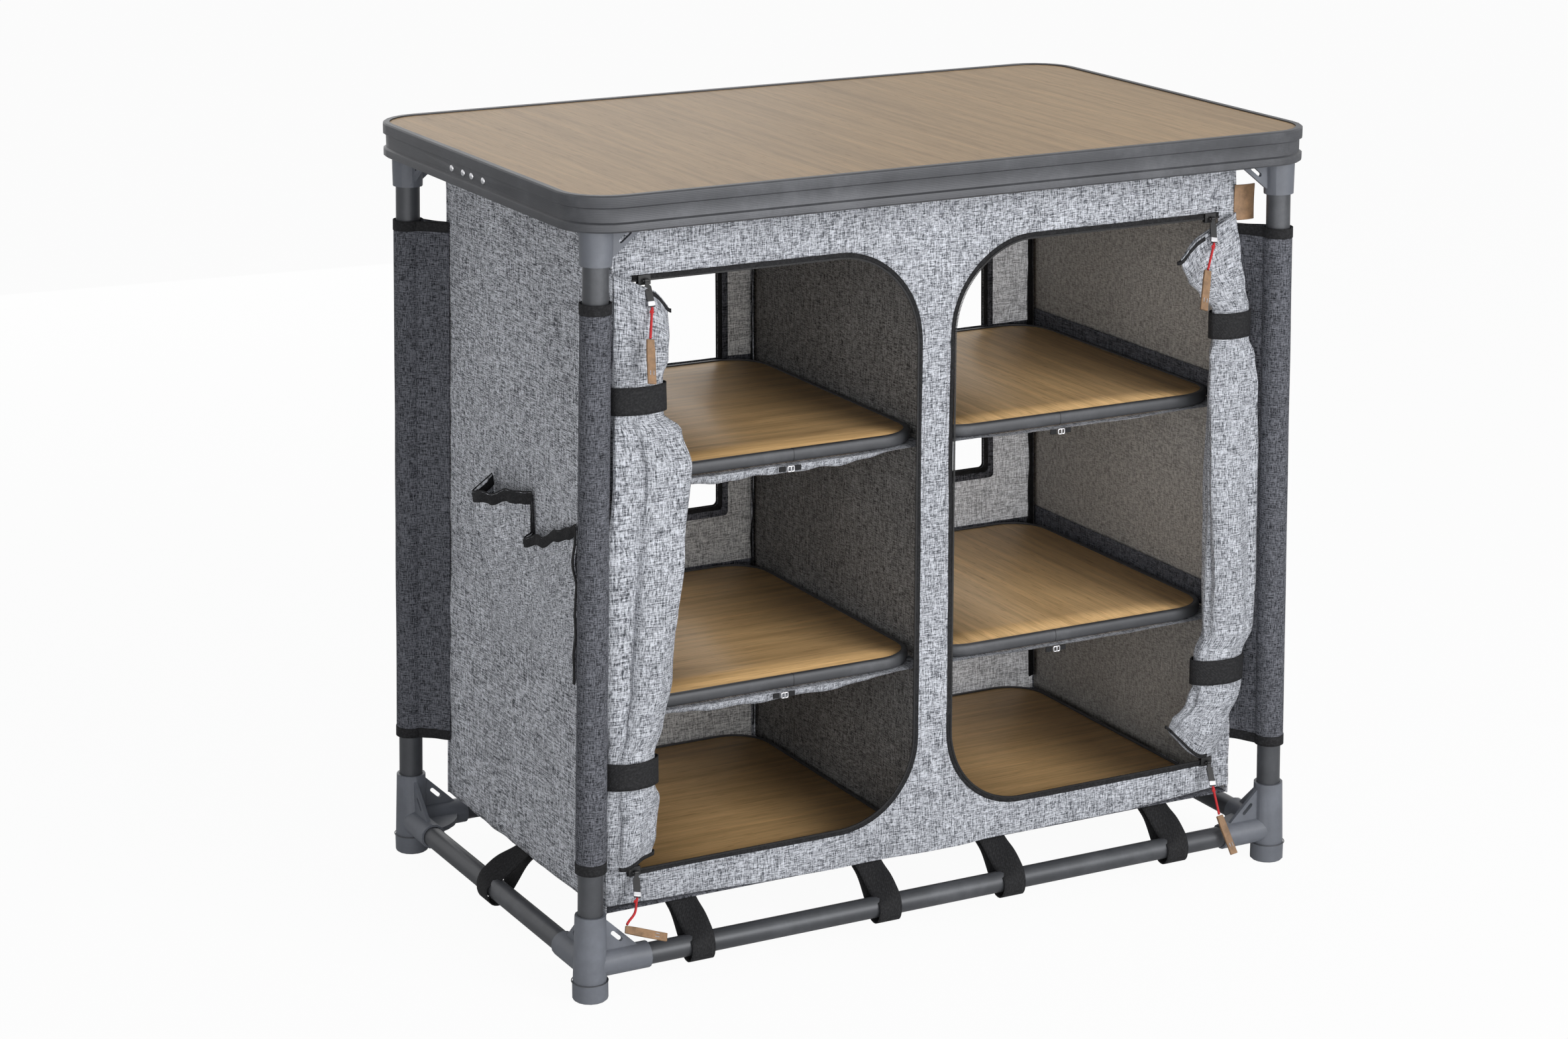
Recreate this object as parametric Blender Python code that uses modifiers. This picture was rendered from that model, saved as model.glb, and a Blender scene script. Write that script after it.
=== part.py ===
"""Fabric camp kitchen cupboard.

A knock-down tube frame with moulded three-way corner joints carries a rimmed worktop. Its legs
splay outwards a little towards the ground. A fabric body with two zipped doors hangs between the
legs and holds three rimmed shelves in each column. Metres, +Z up, +X to the right seen from the
doors, -Y towards the user. The origin is on the ground under the middle of the worktop.
"""
import math

import bmesh
import bpy
from mathutils import Matrix, Vector

# worktop
WORKTOP_HEIGHT = 0.800
WORKTOP_WIDTH = 0.832
WORKTOP_DEPTH = 0.519
WORKTOP_CORNER_R = 0.050
BOARD_THICKNESS = 0.007
RIM_HEIGHT = 0.035
RIM_BEAD = 0.0028
RIM_WALL = 0.0018
RIM_LIP = 0.007
RIM_LIP_THICKNESS = 0.0010
RIM_TOP_BEAD = 0.0127
RIM_LOWER_BEAD = 0.0094
RIM_EDGE = 0.0014
RIM_FLANGE_REACH = 0.0090
RIM_FLANGE_THICKNESS = 0.0016
BOARD_EDGE_EASE = 0.0012
RIVET_R = 0.0034
RIVET_CROWN_R = 0.0019
RIVET_HEIGHT = 0.0014
RIVET_DROP = 0.0195
RIVET_SEAM_Y = 0.006
RIVET_INNER_PITCH = 0.0105
RIVET_OUTER_PITCH = 0.0385

# frame: the legs stand in from the worktop's edges, taken at the height of the base rails
LEG_SETBACK_X = 0.0125
LEG_SETBACK_Y = 0.0305
LEG_SPLAY_SHARE = 0.0249
LEG_R = 0.0125
RAIL_R = 0.0110
TUBE_WALL = 0.0015
FOOT_R = 0.0178
FOOT_HEIGHT = 0.019
FOOT_CHAMFER = 0.0015
BASE_RAIL_Z = 0.035
SOCKET_MOUTH_R = 0.0155
SOCKET_BASE_R = 0.0170
SOCKET_RISE = 0.053
TOP_SOCKET_RISE = 0.047
TOP_SOCKET_STUB = 0.0115
SOCKET_FLOOR = 0.003
ARM_R = 0.0135
ARM_LENGTH = 0.062
RAIL_STOP = 0.020
GUSSET_THICKNESS = 0.004
GUSSET_REACH = 0.050
GUSSET_HEAD = 0.006
GUSSET_SLOT_LENGTH = 0.016
GUSSET_SLOT_R = 0.0021
GUSSET_SLOT_INSET = 0.0062
WEB_REACH = 0.050
WEB_THICKNESS = 0.005

# fabric body, set in from the legs and the worktop, taken at the height of the base rails
BODY_SETBACK_X = 0.0305
BODY_SETBACK_Y = 0.030
BODY_DROP = 0.0345
BODY_HEM_Z = 0.0705
FABRIC = 0.002
TOP_SKIRT = 0.012
HEM_RISE = 0.009
HEM_RISE_SHARES = (1.0, 0.35, 0.1, 0.0, 0.2, 0.3, 1.0)
DOOR_SIDE_MARGIN = 0.023
DOOR_INNER_X = 0.0180
DOOR_SILL_Z = 0.1080
DOOR_HEAD_MARGIN = 0.0565
DOOR_HEAD_R = 0.098
DOOR_SILL_R = 0.090
WINDOW_SIDE_MARGIN = 0.069
WINDOW_INNER_X = 0.045
WINDOW_SILL_Z = 0.349
WINDOW_HEAD_MARGIN = 0.0975
WINDOW_R = 0.005

# shelves
LOWER_SHELF_TOP_Z = 0.0855
MIDDLE_SHELF_TOP_Z = 0.2840
UPPER_SHELF_DROP = 0.2485
SHELF_THICKNESS = 0.0125
SHELF_INNER_X = 0.005
SHELF_SIDE_GAP = 0.018
SHELF_FRONT_GAP = 0.009
SHELF_CORNER_R = 0.048
SHELF_RIM_WIDTH = 0.0065
SHELF_RIM_LIP = 0.0010
SHELF_RIM_ROUND = 0.0025
SLING_LIP = 0.0085
SLING_LIP_THICKNESS = 0.003

# zips and sliders
ZIP_WIDTH = 0.0065
ZIP_THICKNESS = 0.003
SLIDER_LENGTH = 0.013
SLIDER_HEIGHT = 0.0095
SLIDER_PLATE = 0.0012
SLIDER_NECK = 0.0012
BRIDGE_R = 0.0008
BRIDGE_REACH = 0.0034
BRIDGE_INNER = 0.0050
BRIDGE_POST = 0.0013
SLIDER_TOP_INSET = 0.0275
SLIDER_BASE_INSET = 0.0095

# pulls
TAB_LENGTH = 0.0260
TAB_WIDTH = 0.0070
TAB_THICKNESS = 0.0016
TAB_EYE_R = 0.0022
TAB_NECK = 0.0040
PULL_CORD_R = 0.0010
PULL_CORD_LENGTH = 0.031
PULL_CORD_BOW = 0.003
TOGGLE_LENGTH = 0.0435
TOGGLE_WIDTH = 0.0085
TOGGLE_THICKNESS = 0.0030
TOGGLE_EDGE = 0.0006
UPPER_LEAN = math.radians(28)
LOWER_LEAN = math.radians(32)
# this one hangs clear in front of the corner joint's web
BASE_LEFT_LEAN = math.radians(40)

# door rolls and their straps
ROLL_HALF_WIDTH = 0.0465
ROLL_DEPTH = 0.0360
ROLL_FOOT_Z = 0.1230
ROLL_HEAD_DROP = 0.019
ROLL_SIDES = 18
ROLL_LOBES = 3
ROLL_STRAP_HEIGHT = 0.035
ROLL_STRAP_THICKNESS = 0.0015
ROLL_STRAP_SHARES = (0.1746, 0.8342)
ROLL_TAPE_WIDTH = 0.012
# height share, centre share, half-width share, depth share and fold share of each station
LEFT_ROLL_SHARES = (
    (0.000, 1.000, 0.58, 0.30, 0.05),
    (0.050, 1.004, 0.70, 0.66, 0.12),
    (0.120, 1.000, 0.72, 0.80, 0.10),
    (0.175, 1.000, 0.61, 0.78, 0.04),
    (0.250, 0.986, 0.76, 0.90, 0.10),
    (0.340, 0.968, 0.88, 0.98, 0.13),
    (0.450, 0.957, 0.96, 1.00, 0.14),
    (0.560, 0.946, 1.00, 1.00, 0.14),
    (0.710, 0.930, 1.00, 0.98, 0.12),
    (0.775, 0.945, 0.84, 0.90, 0.08),
    (0.834, 0.967, 0.62, 0.76, 0.03),
    (0.885, 0.932, 0.84, 0.62, 0.10),
    (0.940, 0.920, 0.90, 0.42, 0.12),
    (1.000, 0.917, 0.88, 0.20, 0.10),
)
RIGHT_ROLL_SHARES = (
    (0.000, 0.905, 0.70, 0.28, 0.04),
    (0.060, 0.925, 0.84, 0.62, 0.12),
    (0.130, 0.965, 0.76, 0.82, 0.12),
    (0.175, 0.970, 0.68, 0.80, 0.04),
    (0.250, 1.000, 0.76, 0.92, 0.11),
    (0.340, 0.994, 0.78, 0.98, 0.13),
    (0.450, 0.985, 0.78, 1.00, 0.14),
    (0.560, 0.978, 0.78, 1.00, 0.14),
    (0.710, 0.973, 0.74, 0.96, 0.12),
    (0.775, 0.972, 0.62, 0.84, 0.08),
    (0.834, 0.972, 0.50, 0.74, 0.03),
    (0.885, 0.945, 0.66, 0.60, 0.10),
    (0.940, 0.905, 0.80, 0.42, 0.12),
    (1.000, 0.880, 0.88, 0.20, 0.10),
)

# base straps and the webbing band that they are sewn to
BASE_STRAP_WIDTH = 0.035
BASE_STRAP_THICKNESS = 0.0015
BASE_STRAP_SHARES = (-0.7641, -0.1930, 0.2037, 0.7480)
SIDE_STRAP_Y = 0.006
BASE_BAND_WIDTH = 0.016
STRAP_ANCHOR_GAP = 0.006
STRAP_STEPS = 12

# leg sleeves
SLEEVE_FOOT_Z = 0.133
SLEEVE_HEAD_DROP = 0.0705
SLEEVE_FIN_SETBACK = 0.006

# side pocket and tag
POCKET_FOOT_Z = 0.290
POCKET_MOUTH_Z = 0.456
POCKET_STEP = 0.036
POCKET_BACK_MARGIN = 0.125
POCKET_SEAM_Y = -0.038
POCKET_FRONT_MARGIN = 0.058
POCKET_STAND = 0.026
# place along a pouch, stand-off and mouth rise, each as a share
POUCH_SHARES = (
    (0.00, 0.00, 0.00), (0.06, 1.00, -0.10), (0.35, 0.78, -0.06), (0.65, 0.46, 0.00),
    (0.88, 0.20, 0.06), (1.00, 0.00, 0.10),
)
SMALL_POUCH_STAND_SHARE = 0.42
POCKET_ROWS = 4
POCKET_FLARE = 1.5
TAG_WIDTH = 0.020
TAG_LENGTH = 0.037
TAG_THICKNESS = 0.0015
TAG_DROP = 0.0285

# play between touching pieces, overrun of every cut, and facets of round shapes
GAP = 0.0003
OVERRUN = 0.002
ROUND_SIDES = 16
SMALL_SIDES = 10
CORNER_STEPS = 6
SHELF_CORNER_STEPS = 4
WINDOW_CORNER_STEPS = 3
DOOR_CORNER_STEPS = 9
CORD_STEPS = 8
SMOOTH_ANGLE = math.radians(35)

# sizes that follow from the ones above
LEG_X = WORKTOP_WIDTH / 2 - LEG_SETBACK_X
LEG_Y = WORKTOP_DEPTH / 2 - LEG_SETBACK_Y
BOARD_TOP_Z = WORKTOP_HEIGHT - RIM_LIP_THICKNESS - GAP
BOARD_FOOT_Z = BOARD_TOP_Z - BOARD_THICKNESS
TOP_RAIL_Z = BOARD_FOOT_Z - GAP - ARM_R
BODY_HALF_X = LEG_X - BODY_SETBACK_X
BODY_HALF_Y = LEG_Y - BODY_SETBACK_Y
BODY_TOP_Z = WORKTOP_HEIGHT - BODY_DROP
PANEL_HEAD_Z = BODY_TOP_Z - TOP_SKIRT
DOOR_OUTER_X = BODY_HALF_X - DOOR_SIDE_MARGIN
DOOR_HEAD_Z = BODY_TOP_Z - DOOR_HEAD_MARGIN
WINDOW_OUTER_X = BODY_HALF_X - WINDOW_SIDE_MARGIN
WINDOW_HEAD_Z = BODY_TOP_Z - WINDOW_HEAD_MARGIN
SHELF_TOP_Z = (LOWER_SHELF_TOP_Z, MIDDLE_SHELF_TOP_Z, BODY_TOP_Z - UPPER_SHELF_DROP)
SHELF_WIDTH = BODY_HALF_X - SHELF_INNER_X - SHELF_SIDE_GAP
SHELF_HALF_DEPTH = BODY_HALF_Y - SHELF_FRONT_GAP
FLOOR_TOP_Z = SHELF_TOP_Z[0] - SHELF_THICKNESS - GAP
FLOOR_FOOT_Z = FLOOR_TOP_Z - FABRIC
INNER_HALF_Y = BODY_HALF_Y - FABRIC - GAP
ZIP_Y = -(BODY_HALF_Y - FABRIC / 2)
BRIDGE_Y = ZIP_Y - ZIP_THICKNESS / 2 - GAP - SLIDER_PLATE - BRIDGE_REACH
SLIDER_TOP_X = DOOR_OUTER_X - SLIDER_TOP_INSET
SLIDER_BASE_X = DOOR_OUTER_X - SLIDER_BASE_INSET
ROLL_HEAD_Z = DOOR_HEAD_Z - ROLL_HEAD_DROP
ROLL_STRAP_Z = [ROLL_FOOT_Z + (ROLL_HEAD_Z - ROLL_FOOT_Z) * share for share in ROLL_STRAP_SHARES]
ROLL_BACK_Y = -(BODY_HALF_Y + ROLL_STRAP_THICKNESS + 3 * GAP)
SLEEVE_HEAD_Z = BODY_TOP_Z - SLEEVE_HEAD_DROP
POCKET_BACK_Y = BODY_HALF_Y - POCKET_BACK_MARGIN
POCKET_FRONT_Y = POCKET_FRONT_MARGIN - BODY_HALF_Y
TAG_HEAD_Z = BODY_TOP_Z - TAG_DROP

SIDES_X = (("left", -1), ("right", 1))
SIDES_Y = (("front", -1), ("back", 1))
ALONG_X = Vector((1, 0, 0))
ALONG_Y = Vector((0, 1, 0))
ALONG_Z = Vector((0, 0, 1))

# base colour, roughness and metallic value
DARK_TUBE = ((0.085, 0.087, 0.095), 0.42, 0.6)
GREY_MOULDING = ((0.150, 0.158, 0.175), 0.55, 0.0)
RIM_METAL = ((0.095, 0.098, 0.106), 0.45, 0.5)
OAK = ((0.42, 0.29, 0.17), 0.5, 0.0)
PALE_FABRIC = ((0.36, 0.36, 0.39), 0.95, 0.0)
DARK_FABRIC = ((0.09, 0.09, 0.105), 0.95, 0.0)
WEBBING = ((0.018, 0.018, 0.02), 0.85, 0.0)
ZIP_BLACK = ((0.02, 0.02, 0.022), 0.5, 0.0)
RED_CORD = ((0.62, 0.03, 0.04), 0.7, 0.0)
LEATHER = ((0.36, 0.21, 0.12), 0.7, 0.0)

for old in list(bpy.data.objects):
    bpy.data.objects.remove(old, do_unlink=True)

parts = bpy.data.collections.new("fabric_camp_cupboard")
bpy.context.scene.collection.children.link(parts)


def splayed_x(x, z):
    """The x at height z of a point that would be at x on upright sides: they lean out downwards."""
    return x * (1 + LEG_SPLAY_SHARE * (BASE_RAIL_Z - z) / max(abs(x), BODY_HALF_X))


def body_half_x(z):
    return splayed_x(BODY_HALF_X, z)


def splayed(mesh):
    """The mesh, leaned with the legs."""
    for vertex in mesh.vertices:
        vertex.co.x = splayed_x(vertex.co.x, vertex.co.z)
    return mesh


def plane(origin, u, v):
    """Matrix that lays local X along u and local Y along v from the origin."""
    u = Vector(u).normalized()
    v = Vector(v).normalized()
    matrix = Matrix((u, v, u.cross(v))).transposed().to_4x4()
    matrix.translation = Vector(origin)
    return matrix


def flat_plane(z=0):
    return plane((0, 0, z), ALONG_X, ALONG_Y)


def front_plane(y=0):
    return plane((0, y, 0), ALONG_X, ALONG_Z)


def side_plane(x=0):
    return plane((x, 0, 0), ALONG_Y, ALONG_Z)


def baked(obj):
    """The object's evaluated mesh with its loose seams welded; the object itself goes."""
    graph = bpy.context.evaluated_depsgraph_get()
    mesh = bpy.data.meshes.new_from_object(obj.evaluated_get(graph))
    mesh.transform(obj.matrix_world)
    bpy.data.objects.remove(obj, do_unlink=True)
    bm = bmesh.new()
    bm.from_mesh(mesh)
    bmesh.ops.remove_doubles(bm, verts=bm.verts, dist=GAP / 30)
    bmesh.ops.recalc_face_normals(bm, faces=bm.faces)
    bm.to_mesh(mesh)
    bm.free()
    return mesh


def outline_mesh(loops, thickness, matrix):
    """A flat outline, with further loops as holes, given its thickness about its plane."""
    curve = bpy.data.curves.new("outline", "CURVE")
    curve.dimensions = "2D"
    curve.fill_mode = "BOTH"
    curve.extrude = thickness / 2
    for loop in loops:
        spline = curve.splines.new("POLY")
        spline.points.add(len(loop) - 1)
        spline.use_cyclic_u = True
        for point, (u, v) in zip(spline.points, loop):
            point.co = (u, v, 0, 1)
    obj = bpy.data.objects.new("outline", curve)
    parts.objects.link(obj)
    obj.matrix_world = matrix
    bpy.context.view_layer.update()
    return baked(obj)


def wire_mesh(points, radius):
    """A round cord with filled ends along a smooth list of points."""
    curve = bpy.data.curves.new("wire", "CURVE")
    curve.dimensions = "3D"
    curve.bevel_depth = radius
    curve.bevel_resolution = 2
    curve.use_fill_caps = True
    spline = curve.splines.new("POLY")
    spline.points.add(len(points) - 1)
    for point, place in zip(spline.points, points):
        point.co = (*place, 1)
    obj = bpy.data.objects.new("wire", curve)
    parts.objects.link(obj)
    bpy.context.view_layer.update()
    return baked(obj)


def swept_ring_mesh(outline, section, z):
    """A closed section, given as outward and up, carried round a closed outline at height z."""
    profile = bpy.data.curves.new("section", "CURVE")
    profile.dimensions = "2D"
    spline = profile.splines.new("POLY")
    spline.points.add(len(section) - 1)
    spline.use_cyclic_u = True
    for point, (outward, up) in zip(spline.points, section):
        point.co = (-outward, up, 0, 1)
    profile_object = bpy.data.objects.new("section", profile)
    path = bpy.data.curves.new("path", "CURVE")
    path.dimensions = "2D"
    path.bevel_mode = "OBJECT"
    path.bevel_object = profile_object
    spline = path.splines.new("POLY")
    spline.points.add(len(outline) - 1)
    spline.use_cyclic_u = True
    for point, (x, y) in zip(spline.points, outline):
        point.co = (x, y, 0, 1)
    obj = bpy.data.objects.new("path", path)
    parts.objects.link(profile_object)
    parts.objects.link(obj)
    obj.location = (0, 0, z)
    bpy.context.view_layer.update()
    mesh = baked(obj)
    bpy.data.objects.remove(profile_object, do_unlink=True)
    return mesh


def cone_mesh(start, end, radius, end_radius=None, sides=ROUND_SIDES):
    """A solid cylinder or cone between two points."""
    start = Vector(start)
    end = Vector(end)
    run = end - start
    bm = bmesh.new()
    bmesh.ops.create_cone(bm, cap_ends=True, segments=sides, radius1=radius,
                          radius2=radius if end_radius is None else end_radius, depth=run.length)
    turn = ALONG_Z.rotation_difference(run).to_matrix().to_4x4()
    bmesh.ops.transform(bm, matrix=Matrix.Translation((start + end) / 2) @ turn, verts=bm.verts)
    mesh = bpy.data.meshes.new("cone")
    bm.to_mesh(mesh)
    bm.free()
    return mesh


def box_mesh(low, high):
    """A box between its lowest and highest corners."""
    low = Vector(low)
    high = Vector(high)
    bm = bmesh.new()
    bmesh.ops.create_cube(bm, size=1)
    bmesh.ops.scale(bm, vec=high - low, verts=bm.verts)
    bmesh.ops.translate(bm, vec=(low + high) / 2, verts=bm.verts)
    mesh = bpy.data.meshes.new("box")
    bm.to_mesh(mesh)
    bm.free()
    return mesh


def placed(mesh, matrix):
    """A copy of a mesh, moved or mirrored, with its faces still pointing out."""
    bm = bmesh.new()
    bm.from_mesh(mesh)
    bmesh.ops.transform(bm, matrix=matrix, verts=bm.verts)
    if matrix.determinant() < 0:
        bmesh.ops.reverse_faces(bm, faces=bm.faces)
    copy = bpy.data.meshes.new("copy")
    bm.to_mesh(copy)
    bm.free()
    return copy


def cut_and_joined(base, joins=(), cuts=()):
    """The base mesh with others joined to it, then others cut out of it."""
    target = bpy.data.objects.new("target", base)
    parts.objects.link(target)
    tools = []
    for operation, meshes in (("UNION", joins), ("DIFFERENCE", cuts)):
        for mesh in meshes:
            tool = bpy.data.objects.new("tool", mesh)
            parts.objects.link(tool)
            tools.append(tool)
            step = target.modifiers.new("step", "BOOLEAN")
            step.operation = operation
            step.solver = "EXACT"
            step.object = tool
    bpy.context.view_layer.update()
    mesh = baked(target)
    for tool in tools:
        bpy.data.objects.remove(tool, do_unlink=True)
    return mesh


def piece(name, mesh, finish, origin=(0, 0, 0)):
    """One named sub-part with its own material and its origin where it is held or turns."""
    mesh = placed(mesh, Matrix.Translation(-Vector(origin)))
    mesh.name = name
    mesh.shade_smooth()
    mesh.set_sharp_from_angle(angle=SMOOTH_ANGLE)
    colour, roughness, metallic = finish
    material = bpy.data.materials.new(name)
    material.use_nodes = True
    shader = material.node_tree.nodes["Principled BSDF"]
    shader.inputs["Base Color"].default_value = (*colour, 1)
    shader.inputs["Roughness"].default_value = roughness
    shader.inputs["Metallic"].default_value = metallic
    mesh.materials.append(material)
    obj = bpy.data.objects.new(name, mesh)
    obj.location = origin
    parts.objects.link(obj)
    return obj


def circle(radius, sides, centre=(0, 0)):
    return [(centre[0] + radius * math.cos(math.tau * i / sides),
             centre[1] + radius * math.sin(math.tau * i / sides)) for i in range(sides)]


def rounded(corners, radii, steps):
    """A closed outline with each corner rounded to its own radius; zero keeps it square."""
    points = []
    count = len(corners)
    for i, corner in enumerate(corners):
        here = Vector(corner)
        if not radii[i]:
            points.append(tuple(here))
            continue
        back = (Vector(corners[i - 1]) - here).normalized()
        ahead = (Vector(corners[(i + 1) % count]) - here).normalized()
        half = back.angle(ahead) / 2
        centre = here + (back + ahead).normalized() * radii[i] / math.sin(half)
        start = here + back * radii[i] / math.tan(half) - centre
        end = here + ahead * radii[i] / math.tan(half) - centre
        sweep = math.atan2(start.x * end.y - start.y * end.x, start.dot(end))
        for k in range(steps + 1):
            points.append(tuple(centre + Matrix.Rotation(sweep * k / steps, 2) @ start))
    return points


def rounded_rectangle(half_x, half_y, radius, steps, centre=(0, 0)):
    cx, cy = centre
    corners = [(cx - half_x, cy - half_y), (cx + half_x, cy - half_y),
               (cx + half_x, cy + half_y), (cx - half_x, cy + half_y)]
    return rounded(corners, [radius] * 4, steps)


def rectangle(low_u, low_v, high_u, high_v):
    return [(low_u, low_v), (high_u, low_v), (high_u, high_v), (low_u, high_v)]


def tube_mesh(start, end, radius):
    """An open tube between two points."""
    start = Vector(start)
    end = Vector(end)
    run = end - start
    side = run.cross(ALONG_Y if abs(run.normalized().y) < 0.5 else ALONG_Z).normalized()
    matrix = plane((start + end) / 2, side, run.cross(side))
    loops = [circle(radius, ROUND_SIDES), circle(radius - TUBE_WALL, ROUND_SIDES)]
    return outline_mesh(loops, run.length, matrix)


# the moulded three-way corner joint

def gusset_meshes(rise, along):
    """Upright triangular web from the socket down to an arm, and the slot to cut in it."""
    head = rise - GUSSET_HEAD
    outline = [(0, 0), (GUSSET_REACH, 0), (GUSSET_REACH, ARM_R), (SOCKET_MOUTH_R, head), (0, head)]
    matrix = plane((0, 0, 0), along, ALONG_Z)
    fall = Vector((GUSSET_REACH - SOCKET_MOUTH_R, ARM_R - head)).normalized()
    inward = Vector((fall.y, -fall.x))
    middle = Vector(((GUSSET_REACH + SOCKET_MOUTH_R) / 2, (ARM_R + head) / 2))
    middle += inward * GUSSET_SLOT_INSET
    slot = []
    half_turn = SMALL_SIDES // 2
    for end in (1, -1):
        centre = middle + fall * end * (GUSSET_SLOT_LENGTH / 2 - GUSSET_SLOT_R)
        for k in range(half_turn + 1):
            turn = Matrix.Rotation(math.pi * k / half_turn, 2)
            slot.append(tuple(centre + turn @ (inward * end * GUSSET_SLOT_R)))
    return (outline_mesh([outline], GUSSET_THICKNESS, matrix),
            outline_mesh([slot], GUSSET_THICKNESS + OVERRUN, matrix))


def corner_joint_meshes(rise, stub, lean):
    """Socket that rises from the origin, leaning along X, with what joins and what cuts it."""
    along_leg = Vector((lean, 0, 1))
    body = cone_mesh(-stub * along_leg, rise * along_leg, SOCKET_BASE_R, SOCKET_MOUTH_R)
    joins = []
    bore_start = SOCKET_FLOOR * along_leg
    bore_end = (rise + OVERRUN) * along_leg
    cuts = [cone_mesh(bore_start, bore_end, LEG_R + GAP)]
    for along in (ALONG_X, ALONG_Y):
        joins.append(cone_mesh((0, 0, 0), along * ARM_LENGTH, ARM_R))
        gusset, slot = gusset_meshes(rise, along)
        joins.append(gusset)
        cuts.append(slot)
        cuts.append(cone_mesh(along * RAIL_STOP, along * (ARM_LENGTH + OVERRUN), RAIL_R + GAP))
    web = [(0, 0)]
    for k in range(CORNER_STEPS + 1):
        angle = math.pi / 2 * k / CORNER_STEPS
        web.append((WEB_REACH * math.cos(angle), WEB_REACH * math.sin(angle)))
    joins.append(outline_mesh([web], WEB_THICKNESS, flat_plane()))
    return body, joins, cuts


def build_corner_joints():
    body, joins, cuts = corner_joint_meshes(SOCKET_RISE, BASE_RAIL_Z - FOOT_HEIGHT / 2, LEG_SPLAY_SHARE)
    chamfer_top = (0, 0, FOOT_CHAMFER - BASE_RAIL_Z)
    joins.append(cone_mesh(chamfer_top, (0, 0, FOOT_HEIGHT - BASE_RAIL_Z), FOOT_R))
    joins.append(cone_mesh((0, 0, -BASE_RAIL_Z), chamfer_top, FOOT_R - FOOT_CHAMFER, FOOT_R))
    base = cut_and_joined(body, joins, cuts)
    top = cut_and_joined(*corner_joint_meshes(TOP_SOCKET_RISE, TOP_SOCKET_STUB, -LEG_SPLAY_SHARE))
    for name_y, sy in SIDES_Y:
        for name_x, sx in SIDES_X:
            base_at = (sx * LEG_X, sy * LEG_Y, BASE_RAIL_Z)
            top_at = (sx * splayed_x(LEG_X, TOP_RAIL_Z), sy * LEG_Y, TOP_RAIL_Z)
            upright = Matrix.Translation(base_at) @ Matrix.Diagonal((-sx, -sy, 1, 1))
            inverted = Matrix.Translation(top_at) @ Matrix.Diagonal((-sx, -sy, -1, 1))
            piece(f"base_joint_{name_y}_{name_x}", placed(base, upright), GREY_MOULDING, base_at)
            piece(f"top_joint_{name_y}_{name_x}", placed(top, inverted), GREY_MOULDING, top_at)


def build_tubes():
    """Four splayed legs, four base rails and the four top rails that carry the worktop."""
    low = BASE_RAIL_Z + SOCKET_FLOOR + GAP
    high = TOP_RAIL_Z - SOCKET_FLOOR - GAP
    for name_y, sy in SIDES_Y:
        for name_x, sx in SIDES_X:
            foot = (sx * splayed_x(LEG_X, low), sy * LEG_Y, low)
            head = (sx * splayed_x(LEG_X, high), sy * LEG_Y, high)
            piece(f"leg_{name_y}_{name_x}", tube_mesh(foot, head, LEG_R), DARK_TUBE, foot)
    half_y = LEG_Y - RAIL_STOP - GAP
    for level, z in (("base", BASE_RAIL_Z), ("top", TOP_RAIL_Z)):
        leg_x = splayed_x(LEG_X, z)
        half_x = leg_x - RAIL_STOP - GAP
        for name_y, sy in SIDES_Y:
            rail = tube_mesh((-half_x, sy * LEG_Y, z), (half_x, sy * LEG_Y, z), RAIL_R)
            piece(f"{level}_rail_{name_y}", rail, DARK_TUBE, (0, sy * LEG_Y, z))
        for name_x, sx in SIDES_X:
            rail = tube_mesh((sx * leg_x, -half_y, z), (sx * leg_x, half_y, z), RAIL_R)
            piece(f"{level}_rail_{name_x}", rail, DARK_TUBE, (sx * leg_x, 0, z))


# the worktop

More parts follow.
